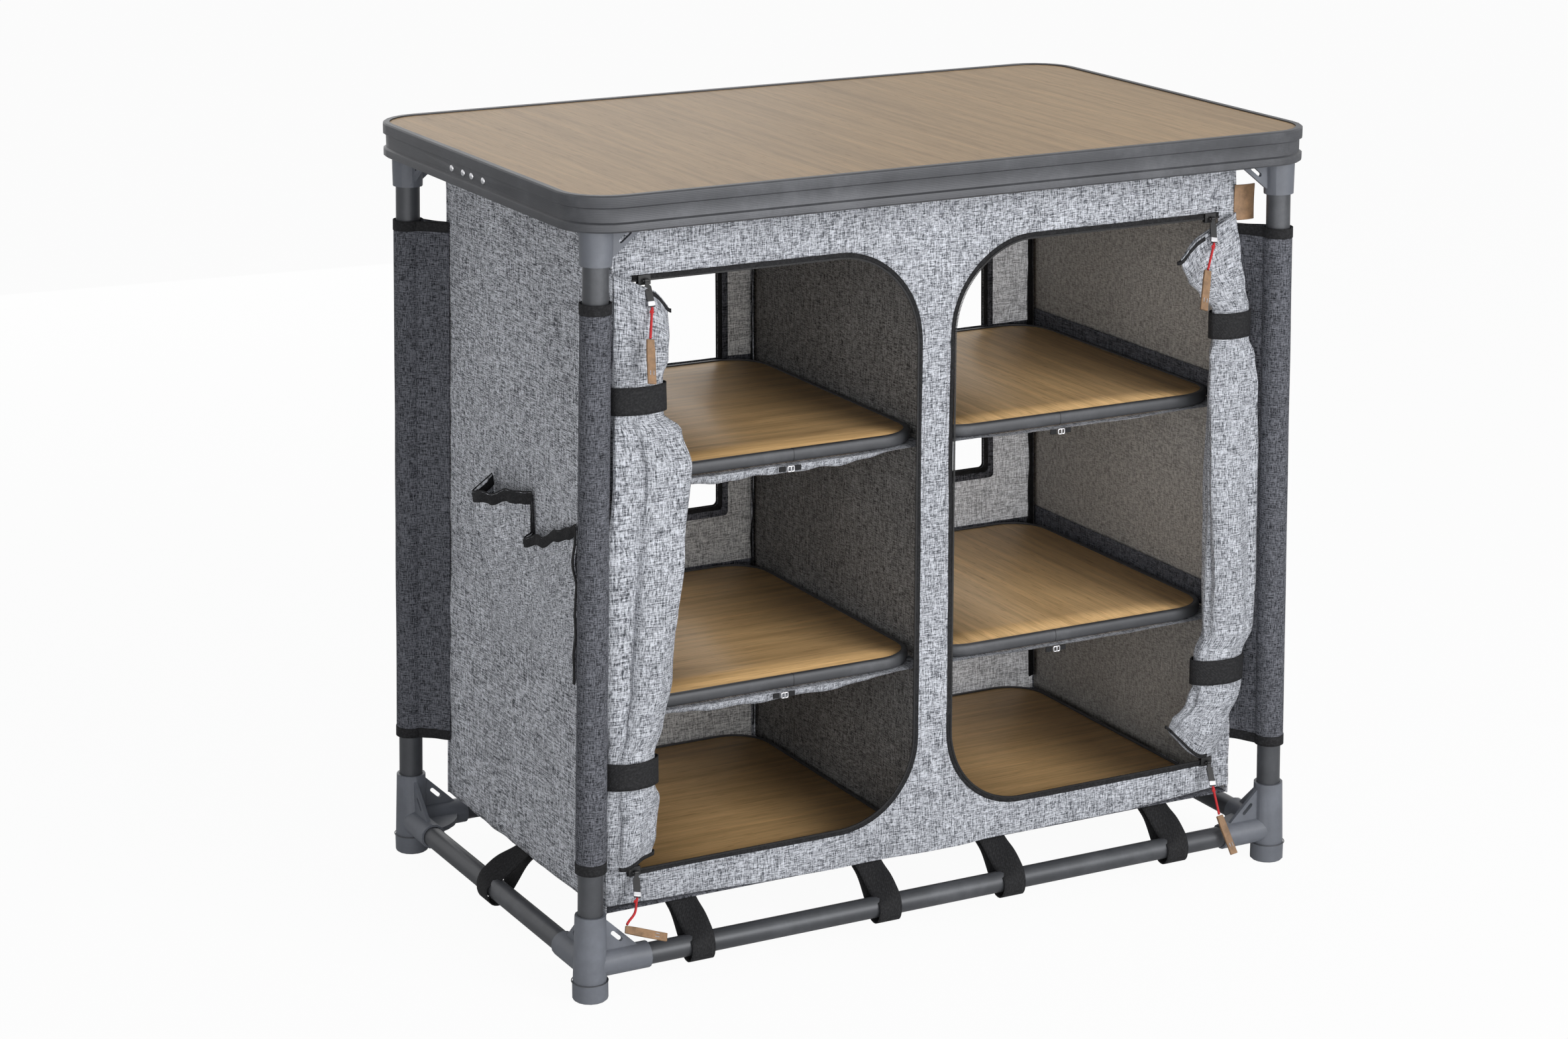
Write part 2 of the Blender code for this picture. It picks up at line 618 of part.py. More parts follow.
def build_worktop():
    half_x = WORKTOP_WIDTH / 2
    half_y = WORKTOP_DEPTH / 2
    outline = rounded_rectangle(half_x, half_y, WORKTOP_CORNER_R, CORNER_STEPS)
    inner = RIM_BEAD + RIM_WALL
    under = RIM_LIP_THICKNESS + BOARD_THICKNESS + 2 * GAP
    flange_foot = under + RIM_FLANGE_THICKNESS
    section = [
        (-RIM_LIP, 0), (-RIM_EDGE, 0), (0, -RIM_EDGE), (0, -RIM_TOP_BEAD + RIM_EDGE),
        (-RIM_BEAD, -RIM_TOP_BEAD), (-RIM_BEAD, -RIM_HEIGHT + RIM_LOWER_BEAD),
        (0, -RIM_HEIGHT + RIM_LOWER_BEAD - RIM_EDGE), (0, -RIM_HEIGHT + RIM_EDGE),
        (-RIM_EDGE, -RIM_HEIGHT), (-inner, -RIM_HEIGHT), (-inner, -flange_foot),
        (-RIM_FLANGE_REACH, -flange_foot), (-RIM_FLANGE_REACH, -under), (-inner, -under),
        (-inner, -RIM_LIP_THICKNESS), (-RIM_LIP, -RIM_LIP_THICKNESS),
    ]
    rim = swept_ring_mesh(outline, section, WORKTOP_HEIGHT)
    face_x = -(half_x - RIM_BEAD)
    rivets = []
    for pitch in (-RIVET_OUTER_PITCH, -RIVET_INNER_PITCH, RIVET_INNER_PITCH, RIVET_OUTER_PITCH):
        y = RIVET_SEAM_Y + pitch
        z = WORKTOP_HEIGHT - RIVET_DROP
        rivets.append(cone_mesh((face_x + RIM_WALL / 2, y, z), (face_x - RIVET_HEIGHT, y, z),
                                RIVET_R, RIVET_CROWN_R, SMALL_SIDES))
    foot = (0, 0, WORKTOP_HEIGHT - RIM_HEIGHT)
    piece("worktop_rim", cut_and_joined(rim, rivets), RIM_METAL, foot)
    # the board's upper edge is eased, so that its face stops where the rim's lip stops
    edge = inner + GAP
    rows = []
    for inset, z in ((edge, BOARD_FOOT_Z), (edge, BOARD_TOP_Z - BOARD_EDGE_EASE), (RIM_LIP + GAP, BOARD_TOP_Z)):
        board = rounded_rectangle(half_x - inset, half_y - inset, WORKTOP_CORNER_R - inset, CORNER_STEPS)
        rows.append([(x, y, z) for x, y in board])
    piece("worktop_board", loft_mesh(rows), OAK, foot)


# the fabric body

def door_outline(side, grow):
    """A door opening, square on its hinge side, grown outwards except on that side."""
    inner = side * (DOOR_INNER_X - grow)
    outer = side * (DOOR_OUTER_X + min(grow, 0))
    corners = [(outer, DOOR_SILL_Z - grow), (inner, DOOR_SILL_Z - grow),
               (inner, DOOR_HEAD_Z + grow), (outer, DOOR_HEAD_Z + grow)]
    radii = [0, DOOR_SILL_R + grow, DOOR_HEAD_R + grow, 0]
    return rounded(corners, radii, DOOR_CORNER_STEPS)


def build_front_panel():
    last = len(HEM_RISE_SHARES) - 1
    hem = [(-BODY_HALF_X + 2 * BODY_HALF_X * i / last, BODY_HEM_Z + HEM_RISE * share)
           for i, share in enumerate(HEM_RISE_SHARES)]
    outline = hem + [(BODY_HALF_X, PANEL_HEAD_Z), (-BODY_HALF_X, PANEL_HEAD_Z)]
    loops = [outline] + [door_outline(side, 0) for _, side in SIDES_X]
    piece("front_panel", splayed(outline_mesh(loops, FABRIC, front_plane(ZIP_Y))), PALE_FABRIC)


def build_back_panel():
    loops = [rectangle(-BODY_HALF_X, BODY_HEM_Z, BODY_HALF_X, PANEL_HEAD_Z)]
    half_x = (WINDOW_OUTER_X - WINDOW_INNER_X) / 2
    half_z = (WINDOW_HEAD_Z - WINDOW_SILL_Z) / 2
    for _, side in SIDES_X:
        centre = (side * (WINDOW_INNER_X + half_x), WINDOW_SILL_Z + half_z)
        loops.append(rounded_rectangle(half_x, half_z, WINDOW_R, WINDOW_CORNER_STEPS, centre))
    piece("back_panel", splayed(outline_mesh(loops, FABRIC, front_plane(-ZIP_Y))), PALE_FABRIC)


def sleeve_mesh(sx, sy):
    """Tube round a leg with a flat fin to the side panel."""
    leg = Vector((sx * LEG_X, sy * LEG_Y))
    seam = Vector((sx * (BODY_HALF_X - FABRIC / 2), sy * (INNER_HALF_Y - SLEEVE_FIN_SETBACK)))
    run = seam - leg
    outer = LEG_R + GAP + FABRIC
    spread = math.asin(FABRIC / 2 / outer)
    heading = math.atan2(run.y, run.x)
    loop = []
    for k in range(ROUND_SIDES + 1):
        angle = heading + spread + (math.tau - 2 * spread) * k / ROUND_SIDES
        loop.append(tuple(leg + outer * Vector((math.cos(angle), math.sin(angle)))))
    across = Vector((-run.y, run.x)).normalized() * FABRIC / 2
    loop += [tuple(seam - across), tuple(seam + across)]
    bore = circle(LEG_R + GAP, ROUND_SIDES, tuple(leg))
    height = SLEEVE_HEAD_Z - SLEEVE_FOOT_Z
    return outline_mesh([loop, bore], height, flat_plane(SLEEVE_FOOT_Z + height / 2))


def build_side_panels():
    """Each side panel with the two leg sleeves that are sewn along its edges."""
    wall = rectangle(-INNER_HALF_Y, BODY_HEM_Z, INNER_HALF_Y, PANEL_HEAD_Z)
    for name_x, sx in SIDES_X:
        panel = outline_mesh([wall], FABRIC, side_plane(sx * (BODY_HALF_X - FABRIC / 2)))
        sleeves = [sleeve_mesh(sx, sy) for _, sy in SIDES_Y]
        piece(f"side_panel_{name_x}", splayed(cut_and_joined(panel, sleeves)), PALE_FABRIC)


def build_cover_and_floor():
    half_x = body_half_x(FLOOR_TOP_Z) - FABRIC - GAP
    floor = box_mesh((-half_x, -INNER_HALF_Y, FLOOR_FOOT_Z), (half_x, INNER_HALF_Y, FLOOR_TOP_Z))
    piece("floor_panel", floor, PALE_FABRIC)
    half_x = body_half_x(BODY_TOP_Z)
    inner_x = half_x - FABRIC
    inner_y = BODY_HALF_Y - FABRIC
    cover = box_mesh((-half_x, -BODY_HALF_Y, PANEL_HEAD_Z + GAP), (half_x, BODY_HALF_Y, BODY_TOP_Z))
    hollow = box_mesh((-inner_x, -inner_y, PANEL_HEAD_Z - OVERRUN), (inner_x, inner_y, BODY_TOP_Z - FABRIC))
    piece("top_cover", cut_and_joined(cover, cuts=[hollow]), DARK_FABRIC)


def build_divider():
    """Middle wall with the four slings that hold the middle and upper shelves."""
    wall = rectangle(-INNER_HALF_Y, FLOOR_TOP_Z + GAP, INNER_HALF_Y, BODY_TOP_Z - FABRIC - GAP)
    divider = outline_mesh([wall], FABRIC, side_plane())
    slings = []
    front = -SHELF_HALF_DEPTH
    for top_z in SHELF_TOP_Z[1:]:
        high = top_z - SHELF_THICKNESS - GAP
        low = high - FABRIC
        foot = high - SLING_LIP
        back = front + SLING_LIP_THICKNESS
        outline = [(front, high), (front, foot), (back, foot), (back, low), (INNER_HALF_Y, low),
                   (INNER_HALF_Y, high)]
        reach = body_half_x(high) - FABRIC - GAP
        for _, sx in SIDES_X:
            slings.append(outline_mesh([outline], reach, side_plane(sx * reach / 2)))
    piece("divider_with_slings", cut_and_joined(divider, slings), PALE_FABRIC)


# shelves

def shelf_mesh(side, top_z):
    """A board let into a rim with rounded edges that stands a little proud of it."""
    centre = (side * (SHELF_INNER_X + SHELF_WIDTH / 2), 0)
    half_x = SHELF_WIDTH / 2
    outline = rounded_rectangle(half_x, SHELF_HALF_DEPTH, SHELF_CORNER_R, SHELF_CORNER_STEPS, centre)
    high = SHELF_THICKNESS
    section = [
        (-SHELF_RIM_WIDTH, 0), (-SHELF_RIM_ROUND, 0), (0, -SHELF_RIM_ROUND),
        (0, -high + SHELF_RIM_ROUND), (-SHELF_RIM_ROUND, -high), (-SHELF_RIM_WIDTH, -high),
    ]
    rim = swept_ring_mesh(outline, section, top_z)
    inset = SHELF_RIM_WIDTH / 2
    board = rounded_rectangle(half_x - inset, SHELF_HALF_DEPTH - inset, SHELF_CORNER_R - inset,
                              SHELF_CORNER_STEPS, centre)
    matrix = flat_plane(top_z - high / 2)
    return cut_and_joined(rim, [outline_mesh([board], high - 2 * SHELF_RIM_LIP, matrix)])


def build_shelves():
    for name_x, sx in SIDES_X:
        for level, top_z in zip(("lower", "middle", "upper"), SHELF_TOP_Z):
            origin = (sx * (SHELF_INNER_X + SHELF_WIDTH / 2), 0, top_z - SHELF_THICKNESS)
            piece(f"shelf_{level}_{name_x}", shelf_mesh(sx, top_z), OAK, origin)


# zips, sliders and pulls

def build_zips():
    """One coil for each door, along its head, its rounded inner side and its sill."""
    for name_x, side in SIDES_X:
        outer = door_outline(side, -GAP)
        inner = door_outline(side, -GAP - ZIP_WIDTH)
        inner[0] = (outer[0][0], inner[0][1])
        inner[-1] = (outer[-1][0], inner[-1][1])
        coil = outline_mesh([outer + inner[::-1]], ZIP_THICKNESS, front_plane(ZIP_Y))
        piece(f"door_zip_{name_x}", splayed(coil), ZIP_BLACK)


def slider_mesh(x, zip_z, out):
    """Two plates astride the coil, closed on the door's side, with an arched bridge in front."""
    front = ZIP_Y - ZIP_THICKNESS / 2 - GAP
    back = ZIP_Y + ZIP_THICKNESS / 2 + GAP
    free = zip_z + out * (ZIP_WIDTH / 2 + GAP)
    far = free + out * SLIDER_NECK
    near = far - out * SLIDER_HEIGHT
    section = [(front - SLIDER_PLATE, near), (front, near), (front, free), (back, free), (back, near),
               (back + SLIDER_PLATE, near), (back + SLIDER_PLATE, far), (front - SLIDER_PLATE, far)]
    body = outline_mesh([section], SLIDER_LENGTH, side_plane(x))
    inner = BRIDGE_INNER / 2
    outer = inner + BRIDGE_POST
    root = front - SLIDER_PLATE / 2
    tip = BRIDGE_Y - BRIDGE_R
    arch = [(x - outer, root), (x - outer, tip), (x + outer, tip), (x + outer, root),
            (x + inner, root), (x + inner, tip + 2 * BRIDGE_R), (x - inner, tip + 2 * BRIDGE_R),
            (x - inner, root)]
    return cut_and_joined(body, [outline_mesh([arch], 2 * BRIDGE_R, flat_plane(zip_z))])


def tab_mesh(reach, swing):
    """Flat tab whose eye is at the origin; the tab runs down, swung sideways from -Z."""
    eye = outline_mesh([circle(TAB_EYE_R, SMALL_SIDES)], TAB_NECK, side_plane())
    half = TAB_WIDTH / 2
    neck = TAB_NECK / 2
    shoulder = 2 * TAB_EYE_R
    outline = [(-neck, 0), (-neck, -shoulder), (-half, -shoulder - half + neck), (-half, -reach),
               (half, -reach), (half, -shoulder - half + neck), (neck, -shoulder), (neck, 0)]
    turn = Matrix.Rotation(swing, 2)
    swung_outline = [tuple(turn @ Vector(point)) for point in outline]
    plate = outline_mesh([swung_outline], TAB_THICKNESS, front_plane())
    bore_r = BRIDGE_R * math.sqrt(2) + GAP
    bore = outline_mesh([circle(bore_r, SMALL_SIDES)], TAB_NECK + 2 * OVERRUN, side_plane())
    return cut_and_joined(eye, [plate], [bore])


def toggle_mesh():
    """Leather-covered bar that starts at the origin and runs down -Z."""
    bm = bmesh.new()
    bm.from_mesh(box_mesh((-TOGGLE_WIDTH / 2, -TOGGLE_THICKNESS / 2, -TOGGLE_LENGTH),
                          (TOGGLE_WIDTH / 2, TOGGLE_THICKNESS / 2, 0)))
    bmesh.ops.bevel(bm, geom=bm.edges, offset=TOGGLE_EDGE, segments=1, affect="EDGES", profile=0.5,
                    material=-1)
    mesh = bpy.data.meshes.new("toggle")
    bm.to_mesh(mesh)
    bm.free()
    return mesh


def hanging(angle):
    """Direction in a pull's own plane, swung sideways from straight down."""
    return Vector((math.sin(angle), 0, -math.cos(angle)))


def build_pull(name, place, lean, swings, bow=0):
    """Slider, tab, cord and toggle; swings are the sideways angles of tab, cord and toggle."""
    x, zip_z = place
    out = -1 if zip_z > (DOOR_HEAD_Z + DOOR_SILL_Z) / 2 else 1
    origin = Vector((x, BRIDGE_Y, zip_z))
    piece(f"slider_{name}", slider_mesh(x, zip_z, out), ZIP_BLACK, origin)
    tilt = Matrix.Translation(origin) @ Matrix.Rotation(-lean, 4, "X")
    tab_swing, cord_swing, toggle_swing = [math.radians(swing) for swing in swings]
    piece(f"pull_tab_{name}", placed(tab_mesh(TAB_LENGTH, tab_swing), tilt), ZIP_BLACK, origin)
    drop = TAB_LENGTH + GAP + PULL_CORD_R * abs(math.sin(cord_swing - tab_swing))
    start = hanging(tab_swing) * drop
    along = hanging(cord_swing)
    across = along.cross(ALONG_Y)
    points = []
    for k in range(CORD_STEPS + 1):
        share = k / CORD_STEPS
        points.append(start + along * PULL_CORD_LENGTH * share
                      + across * bow * math.sin(math.pi * share) ** 2)
    cord = placed(wire_mesh(points, PULL_CORD_R), tilt)
    piece(f"pull_cord_{name}", cord, RED_CORD, origin)
    turned = abs(math.sin(toggle_swing - cord_swing))
    head = points[-1] + along * (GAP + (PULL_CORD_R + TOGGLE_WIDTH / 2) * turned)
    turn = Matrix.Rotation(-toggle_swing, 4, "Y")
    toggle = placed(toggle_mesh(), tilt @ Matrix.Translation(head) @ turn)
    piece(f"toggle_{name}", toggle, LEATHER, origin)


def build_pulls():
    head_z = DOOR_HEAD_Z - GAP - ZIP_WIDTH / 2
    sill_z = DOOR_SILL_Z + GAP + ZIP_WIDTH / 2
    build_pull("top_left", (-SLIDER_TOP_X, head_z), UPPER_LEAN, (0, -17, -11))
    build_pull("top_right", (SLIDER_TOP_X, head_z), UPPER_LEAN, (-12, -30, -22))
    build_pull("base_left", (-SLIDER_BASE_X, sill_z), BASE_LEFT_LEAN, (-15, -38, 68), PULL_CORD_BOW)
    build_pull("base_right", (SLIDER_BASE_X, sill_z), LOWER_LEAN, (-6, -4, 6))


# rolled doors with their straps

def roll_outline(side, row, grow=0):
    """One cross-section of a rolled door: a flattened round with soft folds."""
    height, centre, width, depth, fold = row
    half_x = ROLL_HALF_WIDTH * width
    half_y = ROLL_DEPTH * depth / 2
    centre_x = DOOR_OUTER_X * centre
    centre_y = ROLL_BACK_Y - half_y
    points = []
    for i in range(ROLL_SIDES):
        angle = math.tau * (i + 0.5) / ROLL_SIDES
        ripple = 1 - fold * (1 + math.cos(ROLL_LOBES * angle + math.tau * height)) / 2
        points.append((side * (centre_x + (half_x * ripple + grow) * math.cos(angle)),
                       centre_y + (half_y * ripple + grow) * math.sin(angle)))
    return points


def loft_mesh(rows):
    """A closed body through rows of points, capped at both ends."""
    bm = bmesh.new()
    rings = [[bm.verts.new(point) for point in row] for row in rows]
    count = len(rings[0])
    for low, high in zip(rings, rings[1:]):
        for i in range(count):
            j = (i + 1) % count
            bm.faces.new((low[i], low[j], high[j], high[i]))
    bm.faces.new(rings[0][::-1])
    bm.faces.new(rings[-1])
    bmesh.ops.recalc_face_normals(bm, faces=bm.faces)
    mesh = bpy.data.meshes.new("loft")
    bm.to_mesh(mesh)
    bm.free()
    return mesh


def strapped_row(rows, strap_z):
    """The station that a strap holds: the roll keeps this section over the strap's height."""
    share = (strap_z - ROLL_FOOT_Z) / (ROLL_HEAD_Z - ROLL_FOOT_Z)
    return min(rows, key=lambda row: abs(row[0] - share))


def build_door_rolls():
    span = ROLL_HEAD_Z - ROLL_FOOT_Z
    half = ROLL_STRAP_HEIGHT / 2
    tape_y = -(BODY_HALF_Y + GAP + ROLL_STRAP_THICKNESS / 2)
    for (name_x, side), shares in zip(SIDES_X, (LEFT_ROLL_SHARES, RIGHT_ROLL_SHARES)):
        held = [strapped_row(shares, strap_z) for strap_z in ROLL_STRAP_Z]
        stations = [(ROLL_FOOT_Z + span * row[0], row) for row in shares if row not in held]
        for strap_z, row in zip(ROLL_STRAP_Z, held):
            stations += [(strap_z - half - GAP, row), (strap_z + half + GAP, row)]
        rows = [[(x, y, z) for x, y in roll_outline(side, row)] for z, row in sorted(stations)]
        piece(f"door_roll_{name_x}", loft_mesh(rows), PALE_FABRIC)
        bands = []
        for strap_z, row in zip(ROLL_STRAP_Z, held):
            loops = [roll_outline(side, row, 2 * GAP + ROLL_STRAP_THICKNESS),
                     roll_outline(side, row, 2 * GAP)]
            bands.append(outline_mesh(loops, ROLL_STRAP_HEIGHT, flat_plane(strap_z)))
        tape = []
        for turn in (1, -1):
            edge = [(side * DOOR_OUTER_X * row[1] + turn * ROLL_TAPE_WIDTH / 2, strap_z)
                    for strap_z, row in zip(ROLL_STRAP_Z, held)]
            tape += edge[::turn]
        tape_strip = outline_mesh([tape], ROLL_STRAP_THICKNESS, front_plane(tape_y))
        piece(f"roll_straps_{name_x}", cut_and_joined(bands[0], [bands[1], tape_strip]), WEBBING)


# straps from the hem round the base rails

def strap_outline(rail_u, anchor_u, anchor_z):
    """Band round a rail, drawn as seen along the rail, with both ends up at the webbing band."""
    sign = 1 if rail_u > anchor_u else -1
    bands = []
    for grow in (BASE_STRAP_THICKNESS, 0):
        radius = RAIL_R + GAP + grow
        spread = STRAP_ANCHOR_GAP + grow
        ends = (anchor_u + sign * spread, anchor_u - sign * spread)
        angles = []
        for end, turn in zip(ends, (-sign, sign)):
            run = Vector((end - rail_u, anchor_z - BASE_RAIL_Z))
            angles.append(math.atan2(run.y, run.x) + turn * math.acos(radius / run.length))
        sweep = -sign * ((sign * (angles[0] - angles[1])) % math.tau)
        band = [(ends[0], anchor_z)]
        for k in range(STRAP_STEPS + 1):
            angle = angles[0] + sweep * k / STRAP_STEPS
            band.append((rail_u + radius * math.cos(angle), BASE_RAIL_Z + radius * math.sin(angle)))
        bands.append(band + [(ends[1], anchor_z)])
    return bands[0] + bands[1][::-1]


def build_base_straps():
    """A webbing band under the edge of the floor with ten loops round the base rails."""
    high = FLOOR_FOOT_Z - GAP
    anchor_z = high - BASE_STRAP_THICKNESS / 2
    half_x = body_half_x(high) - FABRIC - GAP
    inner_x = half_x - BASE_BAND_WIDTH
    inner_y = INNER_HALF_Y - BASE_BAND_WIDTH
    loops = [rectangle(-half_x, -INNER_HALF_Y, half_x, INNER_HALF_Y),
             rectangle(-inner_x, -inner_y, inner_x, inner_y)]
    band = outline_mesh(loops, BASE_STRAP_THICKNESS, flat_plane(anchor_z))
    inset = STRAP_ANCHOR_GAP + 2 * BASE_STRAP_THICKNESS
    straps = []
    for _, sy in SIDES_Y:
        outline = strap_outline(sy * LEG_Y, sy * (INNER_HALF_Y - inset), anchor_z)
        for share in BASE_STRAP_SHARES:
            at_strap = side_plane(BODY_HALF_X * share)
            straps.append(outline_mesh([outline], BASE_STRAP_WIDTH, at_strap))
    for _, sx in SIDES_X:
        outline = strap_outline(sx * LEG_X, sx * (half_x - inset), anchor_z)
        straps.append(outline_mesh([outline], BASE_STRAP_WIDTH, front_plane(SIDE_STRAP_Y)))
    piece("base_straps", cut_and_joined(band, straps), WEBBING)


# pocket and tag

def build_side_pocket():
    """Two stepped pouches in one sheet, open at the top and sewn down at their ends."""
    columns = []
    pouches = ((POCKET_BACK_Y, POCKET_SEAM_Y, 1, 0),
               (POCKET_SEAM_Y, POCKET_FRONT_Y, SMALL_POUCH_STAND_SHARE, POCKET_STEP))
    for start, end, stand_share, drop in pouches:
        for place, stand, lift in POUCH_SHARES:
            y = start + (end - start) * place
            if columns and not place:
                y = start - FABRIC
            mouth = POCKET_MOUTH_Z - drop + POCKET_STEP * lift
            columns.append((y, POCKET_STAND * stand_share * stand, mouth))
    skin = -(BODY_HALF_X + GAP + FABRIC / 2)
    last = len(columns) - 1
    bm = bmesh.new()
    bmesh.ops.create_grid(bm, x_segments=last, y_segments=POCKET_ROWS, size=1)
    for vert in bm.verts:
        y, stand, mouth = columns[round((vert.co.x + 1) / 2 * last)]
        rise = round((vert.co.y + 1) / 2 * POCKET_ROWS) / POCKET_ROWS
        z = POCKET_FOOT_Z + (mouth - POCKET_FOOT_Z) * rise
        vert.co = (skin - stand * rise ** POCKET_FLARE, y, z)
    mesh = bpy.data.meshes.new("pocket_sheet")
    bm.to_mesh(mesh)
    bm.free()
    sheet = bpy.data.objects.new("pocket_sheet", mesh)
    parts.objects.link(sheet)
    wall = sheet.modifiers.new("wall", "SOLIDIFY")
    wall.thickness = FABRIC
    wall.offset = 0
    bpy.context.view_layer.update()
    piece("side_pocket", splayed(baked(sheet)), PALE_FABRIC)


def build_tag():
    low_z = TAG_HEAD_Z - TAG_LENGTH
    edge = body_half_x(low_z) + GAP
    tag = box_mesh((edge, -BODY_HALF_Y, low_z), (edge + TAG_WIDTH, TAG_THICKNESS - BODY_HALF_Y, TAG_HEAD_Z))
    piece("leather_tag", tag, LEATHER)


build_corner_joints()
build_tubes()
build_worktop()
build_front_panel()
build_back_panel()
build_side_panels()
build_cover_and_floor()
build_divider()
build_shelves()
build_zips()
build_pulls()
build_door_rolls()
build_base_straps()
build_side_pocket()
build_tag()
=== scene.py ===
import math

import bmesh
import bpy
from mathutils import Matrix, Vector, noise


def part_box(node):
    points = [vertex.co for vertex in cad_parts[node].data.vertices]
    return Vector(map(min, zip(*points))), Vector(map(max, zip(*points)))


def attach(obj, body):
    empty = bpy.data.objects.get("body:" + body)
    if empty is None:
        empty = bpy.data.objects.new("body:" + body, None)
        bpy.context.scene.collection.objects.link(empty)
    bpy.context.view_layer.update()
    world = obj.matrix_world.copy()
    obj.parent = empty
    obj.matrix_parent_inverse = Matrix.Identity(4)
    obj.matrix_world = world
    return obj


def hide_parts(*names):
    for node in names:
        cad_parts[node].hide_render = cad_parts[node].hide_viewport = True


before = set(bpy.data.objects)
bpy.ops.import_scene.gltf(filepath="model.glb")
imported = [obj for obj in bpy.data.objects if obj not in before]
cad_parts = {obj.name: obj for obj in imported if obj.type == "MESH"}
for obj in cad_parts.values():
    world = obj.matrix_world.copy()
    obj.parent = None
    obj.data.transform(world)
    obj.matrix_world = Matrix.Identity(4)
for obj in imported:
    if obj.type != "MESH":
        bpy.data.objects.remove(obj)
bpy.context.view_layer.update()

# body and frame, as the CAD has them
LEG_SPLAY = 0.0249
BASE_RAIL_Z = 0.035
BODY_HALF_X = 0.373
BODY_HALF_Y = 0.199
BODY_TOP_Z = 0.7655
BODY_HEM_Z = 0.0705
INNER_HALF_Y = 0.1967
LEG_X = 0.4035
LEG_Y = 0.229
RAIL_R = 0.0110
CLOTH = 0.0014
GRID_STEP = 0.009
DOOR_OUTER_X = 0.350
DOOR_INNER_X = 0.0180
DOOR_SILL_Z = 0.1080
DOOR_HEAD_Z = 0.7090
DOOR_HEAD_R = 0.098
DOOR_SILL_R = 0.090
ZIP_Y = -0.198
SIDES = (("left", -1), ("right", 1))
ROWS = (("front", -1), ("back", 1))

# camera, fitted to the straight edges of the photograph
CAMERA_LENS = 81.81
CAMERA_SENSOR = 36
CAMERA_PLACE = (-1.7565, -3.1726, 1.4088)
CAMERA_TURN = (math.pi / 2 - 0.2773, 0, -0.4895)


def splayed_x(x, z):
    return x * (1 + LEG_SPLAY * (BASE_RAIL_Z - z) / max(abs(x), BODY_HALF_X))


def clamp(value):
    return max(0.0, min(1.0, value))


def ease(value):
    value = clamp(value)
    return value * value * (3 - 2 * value)


def bump(value, centre, reach):
    """1 at the centre, easing to 0 at the reach."""
    return ease(1 - abs(value - centre) / reach)


def waver(x, y, z):
    """Smooth noise at a point, either side of 0."""
    return noise.noise(Vector((x, y, z)))


def eased_row(rows, share):
    """The row of a table at a share of its length, eased between the rows on either side."""
    for low, high in zip(rows, rows[1:]):
        if share <= high[0]:
            part = ease((share - low[0]) / (high[0] - low[0]))
            return [a + (b - a) * part for a, b in zip(low, high)]
    return list(rows[-1])


# materials

def shaded(colour, factor, lift=0.0):
    return tuple(channel * factor + lift for channel in colour)


def plain_material(name, colour, roughness, metallic=0.0):
    mat = bpy.data.materials.new(name)
    mat.use_nodes = True
    shader = mat.node_tree.nodes["Principled BSDF"]
    shader.inputs["Base Color"].default_value = (*colour, 1)
    shader.inputs["Roughness"].default_value = roughness
    shader.inputs["Metallic"].default_value = metallic
    return mat, mat.node_tree, shader


def add_node(tree, kind, **settings):
    made = tree.nodes.new(kind)
    for key, value in settings.items():
        setattr(made, key, value)
    return made


def coordinates(tree, scale, uv=False, turn=(0, 0, 0)):
    """Object or UV coordinates through a Mapping node."""
    source = add_node(tree, "ShaderNodeTexCoord")
    mapping = add_node(tree, "ShaderNodeMapping")
    mapping.inputs["Scale"].default_value = scale
    mapping.inputs["Rotation"].default_value = turn
    tree.links.new(source.outputs["UV" if uv else "Object"], mapping.inputs["Vector"])
    return mapping.outputs["Vector"]


def noise_value(tree, vector, scale=1.0, detail=2.0, roughness=0.6, distortion=0.0):
    made = add_node(tree, "ShaderNodeTexNoise")
    made.inputs["Scale"].default_value = scale
    made.inputs["Detail"].default_value = detail
    made.inputs["Roughness"].default_value = roughness
    made.inputs["Distortion"].default_value = distortion
    tree.links.new(vector, made.inputs["Vector"])
    return made.outputs["Fac"]


def wave_value(tree, vector, scale, bands="DIAGONAL", distortion=0.0, detail=2.0, grit=(1.0, 0.5)):
    """Straight bands; grit is the scale and the roughness of the detail that bends them."""
    made = add_node(tree, "ShaderNodeTexWave", wave_type="BANDS", bands_direction=bands)
    made.inputs["Scale"].default_value = scale
    made.inputs["Distortion"].default_value = distortion
    made.inputs["Detail"].default_value = detail
    made.inputs["Detail Scale"].default_value = grit[0]
    made.inputs["Detail Roughness"].default_value = grit[1]
    tree.links.new(vector, made.inputs["Vector"])
    return made.outputs["Fac"]


def bands_every(pitch):
    """The scale of a wave texture that repeats at a pitch in metres."""
    return math.tau / 20 / pitch


def math_value(tree, operation, first, second):
    made = add_node(tree, "ShaderNodeMath", operation=operation)
    for slot, value in zip(made.inputs, (first, second)):
        if isinstance(value, (int, float)):
            slot.default_value = value
        else:
            tree.links.new(value, slot)
    return made.outputs["Value"]


def ramp_colour(tree, value, stops):
    made = add_node(tree, "ShaderNodeValToRGB")
    ramp = made.color_ramp
    while len(ramp.elements) < len(stops):
        ramp.elements.new(0.5)
    for element, (place, colour) in zip(ramp.elements, stops):
        element.position = place
        element.color = (*colour, 1)
    tree.links.new(value, made.inputs["Fac"])
    return made.outputs["Color"]


def mixed_colour(tree, share, first, second, blend="MIX"):
    made = add_node(tree, "ShaderNodeMix", data_type="RGBA", blend_type=blend)
    for slot, value in ((made.inputs[0], share), (made.inputs[6], first), (made.inputs[7], second)):
        if isinstance(value, (int, float)):
            slot.default_value = value
        elif isinstance(value, tuple):
            slot.default_value = (*value, 1)
        else:
            tree.links.new(value, slot)
    return made.outputs[2]


